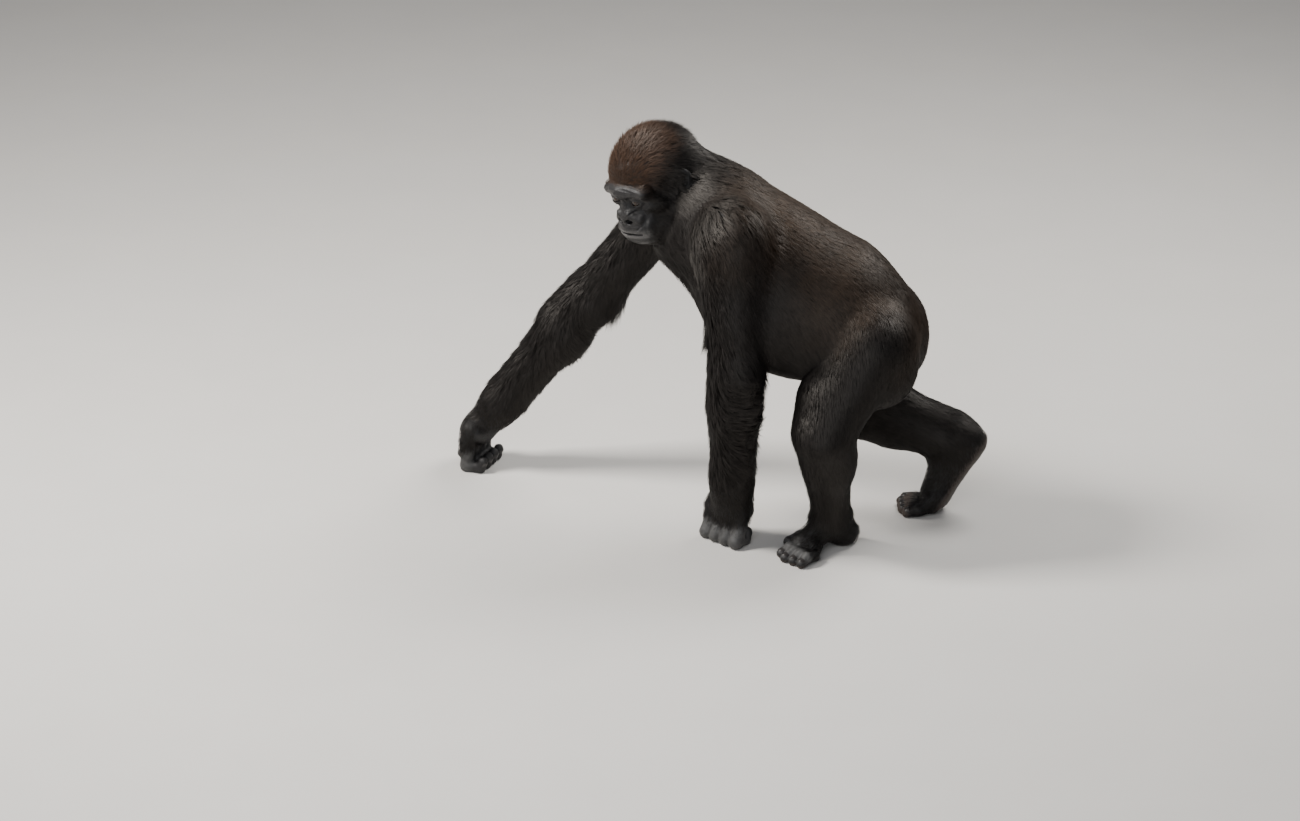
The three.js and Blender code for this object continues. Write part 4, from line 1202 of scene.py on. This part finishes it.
class GORILLA_OT_skin(bpy.types.Operator):
    """One skin for the whole body, which lies under the coat and is bare on face, hands and feet"""

    bl_idname = "gorilla.skin"
    bl_label = "Skin"

    def execute(self, context):
        points, triangles = skin_net(context.scene.gorilla.cell)
        normals = unit(gradient(skin_distance, points))
        piece = new_mesh("skin", points, triangles)
        colours, bares, wet = [], [], []
        for cut in chunks(len(points)):
            p = points[cut]
            d = part_distances(p)
            bare = bareness(p, d)
            bares.append(bare)
            colours.append(skin_colour(p, d, bare))
            wet.append(wetness(p, d))
        set_colour(piece, "point_colour", np.concatenate(colours))
        set_number(piece, "wet", np.concatenate(wet))
        settle(piece, skin_material(), FLESH)
        made.update(points=points, triangles=triangles, normals=normals, bare=np.concatenate(bares))
        return {"FINISHED"}


class GORILLA_OT_eyes(bpy.types.Operator):
    """Both eyeballs, with a pupil, a brown iris and a dark white"""

    bl_idname = "gorilla.eyes"
    bl_label = "Eyes"

    def execute(self, context):
        material = eye_material()
        for name, at in EYE_AT.items():
            points, triangles, colours = eyeball(at)
            piece = new_mesh(f"eyeball_{name}", points, triangles)
            set_colour(piece, "point_colour", colours)
            settle(piece, material, [f"eye_{name}"])
        return {"FINISHED"}


def eyeball(at, rings=48, sectors=64):
    """A ball about the direction the eye looks in, with a slight bulge over the iris. Ring by ring
    the angle from that direction grows; the colour depends on that angle alone."""
    look = unit(vec(0.05 * np.sign(at[0]), 1, 0.1))
    across = unit(np.cross(look, vec(0, 0, 1)))
    over = np.cross(across, look)
    angle = np.linspace(0, np.pi, rings + 1)[:, None]
    turn = np.linspace(0, 2 * np.pi, sectors, endpoint=False)[None, :]
    radius = EYE["radius"] * (1 + 0.03 * np.exp(-((angle / 0.42) ** 2)))
    ball = (
        np.cos(angle)[..., None] * look
        + (np.sin(angle) * np.cos(turn))[..., None] * across
        + (np.sin(angle) * np.sin(turn))[..., None] * over
    ) * radius[..., None]
    inner = ball[1:-1].reshape(-1, 3)
    local = np.concatenate([ball[:1, 0], inner, ball[-1:, 0]]) + vec(at)
    ring = np.arange(rings - 1)[:, None] * sectors + 1
    a = ring[:-1] + np.arange(sectors)
    b = ring[:-1] + (np.arange(sectors) + 1) % sectors
    c, e = b + sectors, a + sectors
    last = len(local) - 1
    first_ring = 1 + np.arange(sectors)
    last_ring = last - sectors + np.arange(sectors)
    faces = np.concatenate([
        np.stack([a, b, c], -1).reshape(-1, 3),
        np.stack([a, c, e], -1).reshape(-1, 3),
        np.stack([0 * first_ring, np.roll(first_ring, -1), first_ring], 1),
        np.stack([last + 0 * last_ring, last_ring, np.roll(last_ring, -1)], 1),
    ])
    spread = np.degrees(np.concatenate([[0], np.repeat(angle[1:-1, 0], sectors), [np.pi]]))
    iris = mix(IRIS_MIDDLE, IRIS_EDGE, smooth(14, 27, spread))
    colour = mix(PUPIL, iris, smooth(10, 13, spread))
    colour = mix(colour, EYE_WHITE, smooth(27, 31, spread))
    first, second, third = (local[faces[:, corner]] - vec(at) for corner in range(3))
    volume = np.einsum("ij,ij->", first, np.cross(second, third))
    world = HEAD.world(local)
    flipped = np.linalg.det(HEAD.axes) * volume < 0
    return world, faces[:, ::-1] if flipped else faces, colour


NAIL = dict(length=9.0, reach=3.2, spread=62, thickness=0.9)  # reach: past the end of its digit's bone


def digits():
    """Each digit's hand or foot, its last bone from a to b, the radius at b and the way its back
    faces, in the sizes' own frame."""
    for side, limb in (("left", LEFT), ("right", RIGHT)):
        f = hand_frame(limb)
        for i in range(FINGER["count"]):
            _, _, back, tip, r = finger_path(limb, i)
            yield f"hand_{side}", f.world(back), f.world(tip), r - 3.5, f.turn((0, -1, -0.6))
        _, joint, tip = on_inner_side(THUMB, limb["side"])
        yield f"hand_{side}", f.world(joint), f.world(tip), 8.5, f.turn((-limb["side"], 0.5, 0))
    f = flat_foot_frame()
    for i in range(TOE["count"]):
        _, middle, tip = flat_toe_path(i)
        yield "foot_left", f.world(middle), f.world(tip), TOE["radius"] - 2, vec(0, 0, 1)
        root, tip = pushing_toe_path(i)
        yield "foot_right", root, tip, 9, vec(0, 0, 1)
    _, joint, tip = on_inner_side(FLAT_BIG_TOE, LEFT["side"])
    yield "foot_left", f.world(joint), f.world(tip), 10, vec(0, 0, 1)
    _, joint, tip = pushing_big_toe()
    yield "foot_right", joint, tip, 10, vec(0, 0, 1)


def nail(a, b, radius, back, steps=10):
    """A curved plate on the back of a digit, closed, with a rounded free edge: its points go round
    the bone by an angle u and along it by v, on an outer and an inner layer."""
    along = unit(b - a)
    over = unit(back - along * (back @ along))
    across = np.cross(along, over)
    u, v = np.meshgrid(np.linspace(-1, 1, steps + 1), np.linspace(0, 1, steps + 1), indexing="ij")
    angle = np.radians(NAIL["spread"]) * u * (1 - 0.25 * v**4)
    place = NAIL["reach"] - NAIL["length"] * (1 - v) - 1.6 * v * u**2
    layers = []
    for lift in (0.7, 0.7 - NAIL["thickness"]):
        r = (radius + lift) * (1 - 0.30 * np.clip(v - 0.55, 0, 1) ** 2)
        ring = np.cos(angle)[..., None] * over + np.sin(angle)[..., None] * across
        layers.append(b + along * place[..., None] + ring * r[..., None])
    points = np.concatenate([layer.reshape(-1, 3) for layer in layers])
    n = steps + 1
    index = np.arange(n * n).reshape(n, n)
    a, b, c, d = index[:-1, :-1], index[1:, :-1], index[1:, 1:], index[:-1, 1:]
    top = np.stack([a, d, c, a, c, b], -1).reshape(-1, 3)
    rim = np.concatenate([index[0, :-1], index[:-1, -1], index[-1, :0:-1], index[:0:-1, 0]])
    after = np.roll(rim, -1)
    walls = np.concatenate([
        np.stack([rim, rim + n * n, after], 1),
        np.stack([after, rim + n * n, after + n * n], 1),
    ])
    faces = np.concatenate([top, top[:, ::-1] + n * n, walls])
    at = points[faces]
    volume = np.einsum("ij,ij->", at[:, 0], np.cross(at[:, 1], at[:, 2]))
    return points.astype(np.float32), faces[:, ::-1] if volume < 0 else faces


class GORILLA_OT_nails(bpy.types.Operator):
    """The nails of hands and feet, one piece for each hand or foot"""

    bl_idname = "gorilla.nails"
    bl_label = "Nails"

    def execute(self, context):
        material = nail_material()
        groups = {}
        for end, *digit in digits():
            groups.setdefault(end, []).append(nail(*digit))
        for end, plates in groups.items():
            starts = np.cumsum([0] + [len(points) for points, _ in plates[:-1]])
            points = np.concatenate([points for points, _ in plates])
            faces = np.concatenate([faces + start for (_, faces), start in zip(plates, starts)])
            points[:, 2] = np.maximum(points[:, 2], 0.2)
            settle(new_mesh(f"nails_{end}", points, faces), material)
        return {"FINISHED"}


# The coat pieces above and below a limb's joint: their names, the part that they grow on, the
# joint, the next one and the hand or foot at the end
LIMB_PIECES = (
    ("upper_arm", "forearm", "arm", "elbow", "wrist", "hand"),
    ("thigh", "shin", "leg", "knee", "ankle", "foot"),
)
TRUNK_PIECES = {  # each with the Y where it begins and the Y where it ends
    "shoulders": (-math.inf, 60),
    "ribs": (60, 160),
    "loins": (160, 255),
    "rump": (255, math.inf),
}


def coat_pieces(p, part):
    """Each coat piece's name and which of the roots are its own, by the part that each grows on.
    The limbs are parted at elbow and knee, and neck and trunk by how far back a root is."""
    yield "coat_head", part == "head"
    for upper, lower, limb_part, joint, after, end in LIMB_PIECES:
        for side, limb in LIMBS.items():
            own = part == f"{limb_part}_{side}"
            below = (p - vec(limb[joint])) @ (vec(limb[after]) - vec(limb[joint])) > 0
            yield f"coat_{upper}_{side}", own & ~below
            yield f"coat_{lower}_{side}", (own & below) | (part == f"{end}_{side}")
    on_torso = np.isin(part, ("trunk", "neck"))
    for name, (begin, stop) in TRUNK_PIECES.items():
        yield f"coat_{name}", on_torso & (p[:, 1] >= begin) & (p[:, 1] < stop)


def tuft_roots(count, rng):
    """Roots spread over the skin by area and by how thickly the coat grows there, as points, their
    normals, their faces, their places in them and how many there are on a square millimetre."""
    points, triangles, normals = made["points"], made["triangles"], made["normals"]
    corners = points[triangles]
    area = np.linalg.norm(np.cross(corners[:, 1] - corners[:, 0], corners[:, 2] - corners[:, 0]), axis=1)
    bare = made["bare"][triangles].mean(axis=1)
    on_floor = corners[..., 2].max(axis=1) < 6
    thick = np.where(bare > 0.985, 0, 1 - 0.8 * bare) * ~on_floor
    short = HEAD.local(corners.mean(axis=1))
    thick = thick * (1 + 0.9 * (np.linalg.norm(short, axis=1) < 110))
    for side in (1, -1):
        thick[np.linalg.norm(ear_space(short, side) / vec(9, 14, 20), axis=1) < 1] = 0
    share = np.cumsum(area * thick)
    face = np.searchsorted(share, rng.random(count) * share[-1])
    a, b = rng.random(count), rng.random(count)
    over = a + b > 1
    a[over], b[over] = 1 - a[over], 1 - b[over]
    weights = np.stack([1 - a - b, a, b], 1).astype(np.float32)
    at = np.einsum("ij,ijk->ik", weights, corners[face])
    normal = unit(np.einsum("ij,ijk->ik", weights, normals[triangles[face]]))
    return at, normal, face, weights, count / share[-1]


def skin_unwrap():
    """The skin's own unwrap, as a place on the map for each corner of each triangle."""
    skin = bpy.data.objects["skin"]
    bpy.ops.object.select_all(action="DESELECT")
    skin.select_set(True)
    bpy.context.view_layer.objects.active = skin
    skin.data.uv_layers.new(name="unwrap")
    bpy.ops.object.mode_set(mode="EDIT")
    bpy.ops.mesh.select_all(action="SELECT")
    bpy.ops.uv.smart_project(angle_limit=1.15, island_margin=0.002)
    bpy.ops.object.mode_set(mode="OBJECT")
    layer = skin.data.uv_layers["unwrap"]
    places = np.empty(len(skin.data.loops) * 2, np.float32)
    layer.data.foreach_get("uv", places)
    skin.data.uv_layers.remove(layer)
    return places.reshape(-1, 3, 2)


PATCH = 0.0015  # half of a tuft's patch on the map
TUFT_FACES = np.array([(0, 1, 2), (4, 2, 1), (0, 3, 1), (0, 2, 3), (4, 1, 3), (4, 3, 2)])
TUFT_PATCH = np.array([(0, -1), (-1, 0), (1, 0), (0, 0.2), (0, 1)]) * PATCH
LOCK_SHARE = 0.26  # a lock's width over its length
WIDEST_AT = 0.42  # of a tuft's length
TIP_AT = 0.97
ROOT_SINK = 0.8  # how far the root lies under the skin
FULL_LENGTH = 24  # shorter tufts are thinner too
# painted shade: a tuft is painted darker towards its root, deep in the coat, and lighter towards its tip
POINT_SHADES = (0.5, 0.9, 0.9, 1.05, 1.15)  # of a tuft's five points, from its root to its tip


def coat_at(roots, normals):
    """What the coat is like at many roots, by name, with the part that each root grows on."""
    d = part_distances(roots)
    bare = bareness(roots, d)
    return dict(
        part=np.array(list(d))[np.argmin(np.stack(list(d.values())), axis=0)],
        depth=coat_depth(roots, d, bare),
        length=coat_length(roots, d, bare),
        way=coat_lie(roots, d, normals),
        colour=coat_colour(roots, d),
        hang=hanging(roots),
        sleek=sleekness(d),
        stand=standing(roots, d),
    )


def locks_of(roots, lengths, density, rng):
    """The lock that each root belongs to: some roots are picked as the middles of locks, the more
    of them the shorter the coat is, and each root joins the nearest."""
    share = 1 / (density * (LOCK_SHARE * lengths) ** 2)
    middles = np.nonzero(rng.random(len(roots)) < share)[0]
    tree = KDTree(len(middles))
    for i, point in enumerate(roots[middles].tolist()):
        tree.insert(point, i)
    tree.balance()
    return middles[np.array([tree.find(point)[1] for point in roots.tolist()])]


class GORILLA_OT_coat(bpy.types.Operator):
    """The coat, as closed tufts that lie along the body: each has a sunk root, a widest place and
    a tip, which follow the skin at their own heights, and they gather into locks"""

    bl_idname = "gorilla.coat"
    bl_label = "Coat"

    def execute(self, context):
        settings = context.scene.gorilla
        rng = np.random.default_rng(7)
        roots, normals, faces, weights, density = tuft_roots(settings.tufts, rng)
        places = skin_unwrap()
        material = coat_material()
        draws = rng.random((len(roots), 6)).astype(np.float32)
        cuts = chunks(len(roots))
        coats = list(POOL.map(lambda cut: coat_at(roots[cut], normals[cut]), cuts))
        coat = {key: np.concatenate([each[key] for each in coats]) for key in coats[0]}
        coat.update(roots=roots, normals=normals, draws=draws)
        coat["lock"] = locks_of(roots, coat["length"], density, rng)
        made_tufts = list(POOL.map(lambda cut: tufts(coat, cut, settings.tuft_width), cuts))
        shapes, colours, facings = (np.concatenate(each) for each in zip(*made_tufts))
        for name, chosen in coat_pieces(roots, coat["part"]):
            own = np.nonzero(chosen)[0]
            if not len(own):
                raise RuntimeError(f"{name} has no tufts")
            points = shapes[own].reshape(-1, 3)
            triangles = (TUFT_FACES + 5 * np.arange(len(own))[:, None, None]).reshape(-1, 3)
            piece = new_mesh(name, points, triangles)
            set_colour(piece, "point_colour", colours[own].reshape(-1, 3))
            piece.data.normals_split_custom_set_from_vertices(facings[own].reshape(-1, 3))
            if places is not None:
                root_place = np.einsum("ij,ijk->ik", weights[own], places[faces[own]])
                patch = root_place[:, None, None, :] + TUFT_PATCH[TUFT_FACES]
                layer = piece.data.uv_layers.new(name="OFBake")
                layer.data.foreach_set("uv", patch.astype(np.float32).ravel())
            settle(piece, material)
        return {"FINISHED"}


def tufts(coat, cut, width):
    """The five points of each tuft of a slice, with their colours and the ways they face. The
    widest place and the tip lie at heights over the skin that grow with the coat's depth. A tuft
    bends towards the middle line of its lock, and a lock's edges lie lower than its middle and are
    painted darker as shade, the more so the looser the coat is. Each tuft is painted darker towards
    its root, as shade deep in the coat. Where the coat hangs, tips leave the skin and turn down. A
    tuft's points face as the coat's surface does there, its sides half as much to their own side,
    so that the light runs over the coat as over one sleek surface."""
    roots, normals, draws = coat["roots"][cut], coat["normals"][cut], coat["draws"][cut]
    lock = coat["lock"][cut]
    mood = coat["draws"][lock]
    depth, hang = coat["depth"][cut], coat["hang"][cut]
    loose = 1.15 - coat["sleek"][cut]
    way = coat["way"][cut]
    across = np.cross(way, normals)
    stray = (draws[:, 0] - 0.5) * 0.30 * (0.4 + 0.6 * loose) + (mood[:, 0] - 0.5) * 0.34 * loose
    way = unit(way + across * stray[:, None])
    across = np.cross(way, normals)
    length = coat["length"][cut] * (0.75 + 0.4 * draws[:, 1]) * (1 + 0.3 * (mood[:, 1] - 0.5) * loose)
    aside = np.einsum("ij,ij->i", roots - coat["roots"][lock], across)
    edge = loose * np.clip(np.abs(aside) / (0.6 * LOCK_SHARE * length + 0.01), 0, 1) ** 2
    girth = width * (0.7 + 0.6 * draws[:, 2]) * np.clip(length / FULL_LENGTH, 0.3, 1.15)
    lift = 0.88 + 0.5 * (mood[:, 2] - 0.5) * loose - 0.4 * edge
    middle_height = depth * (lift - 0.12) * (0.78 + 0.22 * draws[:, 3]) + 0.3
    stand = coat["stand"][cut] * 2 * draws[:, 3]
    tip_height = depth * lift * (0.84 + 0.22 * draws[:, 4]) + 0.25 + (0.30 * hang + stand) * length
    middle = roots + way * (WIDEST_AT * length)[:, None] - across * (0.25 * loose * aside)[:, None]
    tip = roots + way * (TIP_AT * length)[:, None] - across * (0.75 * loose * aside)[:, None]
    tip[:, 2] -= hang * 0.3 * length
    middle += normals * middle_height[:, None]
    tip += normals * tip_height[:, None]
    middle -= normals * (skin_distance(middle) - middle_height)[:, None]
    tip -= normals * np.clip(skin_distance(tip) - tip_height, -12, 12)[:, None]
    half = across * (girth / 2)[:, None]
    shape = np.stack([
        roots - normals * ROOT_SINK,
        middle - half,
        middle + half,
        middle + normals * (girth * 0.3)[:, None],
        tip,
    ], 1)
    shape[..., 2] = np.maximum(shape[..., 2], 0.3)
    whole, last = unit(tip - roots), unit(tip - middle)
    upright = unit(normals - whole * np.einsum("ij,ij->i", normals, whole)[:, None])
    at_tip = unit(normals - last * np.einsum("ij,ij->i", normals, last)[:, None])
    at_tip = unit(at_tip + normals)
    spread = across * 0.5
    facing = unit(np.stack([normals, upright - spread, upright + spread, upright, at_tip], 1))
    # a random tone for each tuft and each lock, and painted shade on the lower edges of locks
    shade = (1 + 0.55 * (draws[:, 5] - 0.5)) * (1 + 0.5 * (mood[:, 3] - 0.5) * loose) * (1 - 0.4 * edge)
    colour = coat["colour"][cut] * shade[:, None]
    colour = colour[:, None] * vec(POINT_SHADES)[None, :, None]
    return shape.astype(np.float32), colour, facing.astype(np.float32)


# ---------------------------------------------------------------------------
# Stage
# ---------------------------------------------------------------------------

AZIMUTH, ELEVATION = 102, 23  # of the camera, in degrees
DISTANCE = 8.0  # metres from the camera to the middle of its view
IMAGE_WIDTH = 1300  # pixels
PIXELS_PER_METRE = 560
VIEW_POINT = (0, 0, 350)  # in the sizes' own frame
VIEW_PIXEL = (707.6, 336.6)  # where that point is seen
IMAGE_MIDDLE = (650, 410.5)
SENSOR = 36.0
FLOOR_RADIUS = 9000
FLOOR_SIDES = 96
LIGHTS = (  # each light's name, place, size in metres, share of the key light's power and colour
    ("key", (0.5, -1.9, 2.5), 0.8, 1, (1, 0.97, 0.93)),
    ("rim", (-1.2, 1.1, 2.4), 1.2, 0.45, (1, 0.98, 0.95)),
    ("fill", (2.6, 0.1, 1.5), 1.8, 0.25, (0.95, 0.97, 1)),
)
LIT_POINT = (0, 0, 0.35)
SKY = dict(colour=(0.9, 0.93, 1.0, 1), strength=0.17)


class GORILLA_OT_stage(bpy.types.Operator):
    """Camera, a plain pale floor and soft studio light"""

    bl_idname = "gorilla.stage"
    bl_label = "Stage"

    def execute(self, context):
        scene = context.scene
        a, e = math.radians(AZIMUTH), math.radians(ELEVATION)
        back = Vector((math.sin(a) * math.cos(e), -math.cos(a) * math.cos(e), math.sin(e)))
        right = Vector((math.cos(a), math.sin(a), 0))
        up = Vector((-math.sin(a) * math.sin(e), math.cos(a) * math.sin(e), math.cos(e)))
        aim = Vector((SHIFT + vec(VIEW_POINT)).tolist()) * MM
        aim += right * ((IMAGE_MIDDLE[0] - VIEW_PIXEL[0]) / PIXELS_PER_METRE)
        aim += up * ((VIEW_PIXEL[1] - IMAGE_MIDDLE[1]) / PIXELS_PER_METRE)
        camera = bpy.data.objects.new("camera", bpy.data.cameras.new("camera"))
        scene.collection.objects.link(camera)
        camera.location = aim + back * DISTANCE
        camera.rotation_mode = "QUATERNION"
        camera.rotation_quaternion = (-back).to_track_quat("-Z", "Y")
        camera.data.sensor_width = SENSOR
        camera.data.lens = SENSOR * DISTANCE * PIXELS_PER_METRE / IMAGE_WIDTH
        scene.camera = camera
        floor_stage(scene.gorilla.floor_colour)
        lights(scene.gorilla.key_power)
        return {"FINISHED"}


def floor_stage(colour):
    """A wide pale disc under the animal, as one fan of triangles."""
    turn = np.linspace(0, 2 * np.pi, FLOOR_SIDES, endpoint=False)
    rim = np.stack([np.cos(turn), np.sin(turn), 0 * turn], 1) * FLOOR_RADIUS
    points = np.concatenate([np.zeros((1, 3)), rim]).astype(np.float32)
    a = np.arange(FLOOR_SIDES)
    triangles = np.stack([0 * a, 1 + a, 1 + (a + 1) % FLOOR_SIDES], 1)
    piece = new_mesh("floor", points, triangles)
    material, shader, node, link = new_material("pale_floor", {"Roughness": 0.9})
    grain = node("ShaderNodeTexNoise", Scale=6.0, Detail=3.0)
    link(node("ShaderNodeTexCoord").outputs["Object"], grain.inputs["Vector"])
    ramp = node("ShaderNodeMapRange", **{"To Min": 0.97, "To Max": 1.03})
    link(grain.outputs["Fac"], ramp.inputs["Value"])
    tint = node("ShaderNodeVectorMath", operation="SCALE")
    tint.inputs[0].default_value = tuple(colour)
    link(ramp.outputs["Result"], tint.inputs["Scale"])
    link(tint.outputs["Vector"], shader.inputs["Base Color"])
    piece.data.materials.append(material)


def lights(power):
    """A key light high before the animal, a rim light behind its right side, a wide fill light on
    its left and a pale sky."""
    for name, at, size, share, colour in LIGHTS:
        lamp = bpy.data.lights.new(name, "AREA")
        lamp.energy = power * share
        lamp.size = size
        lamp.color = colour
        holder = bpy.data.objects.new(name, lamp)
        bpy.context.scene.collection.objects.link(holder)
        holder.location = at
        holder.rotation_mode = "QUATERNION"
        holder.rotation_quaternion = (Vector(LIT_POINT) - Vector(at)).to_track_quat("-Z", "Y")
    world = bpy.context.scene.world or bpy.data.worlds.new("world")
    bpy.context.scene.world = world
    world.use_nodes = True
    background = world.node_tree.nodes["Background"]
    background.inputs["Color"].default_value = SKY["colour"]
    background.inputs["Strength"].default_value = SKY["strength"]


class GORILLA_PT_panel(bpy.types.Panel):
    """The sidebar panel that lists the pieces"""

    bl_label = "Gorilla"
    bl_idname = "GORILLA_PT_panel"
    bl_space_type = "VIEW_3D"
    bl_region_type = "UI"
    bl_category = "Gorilla"

    def draw(self, context):
        column = self.layout.column()
        for name in GorillaSettings.__annotations__:
            column.prop(context.scene.gorilla, name)
        for operator in OPERATORS:
            column.operator(operator.bl_idname)


OPERATORS = (GORILLA_OT_stage, GORILLA_OT_skin, GORILLA_OT_eyes, GORILLA_OT_nails, GORILLA_OT_coat)
CLASSES = (GorillaSettings, *OPERATORS, GORILLA_PT_panel)


def register():
    for each in CLASSES:
        bpy.utils.register_class(each)
    bpy.types.Scene.gorilla = PointerProperty(type=GorillaSettings)


def unregister():
    del bpy.types.Scene.gorilla
    for each in reversed(CLASSES):
        bpy.utils.unregister_class(each)


def main():
    """Makes the pieces in order."""
    register()
    bpy.ops.gorilla.stage()
    bpy.ops.gorilla.skin()
    bpy.ops.gorilla.eyes()
    bpy.ops.gorilla.nails()
    bpy.ops.gorilla.coat()


if __name__ == "__main__":
    main()
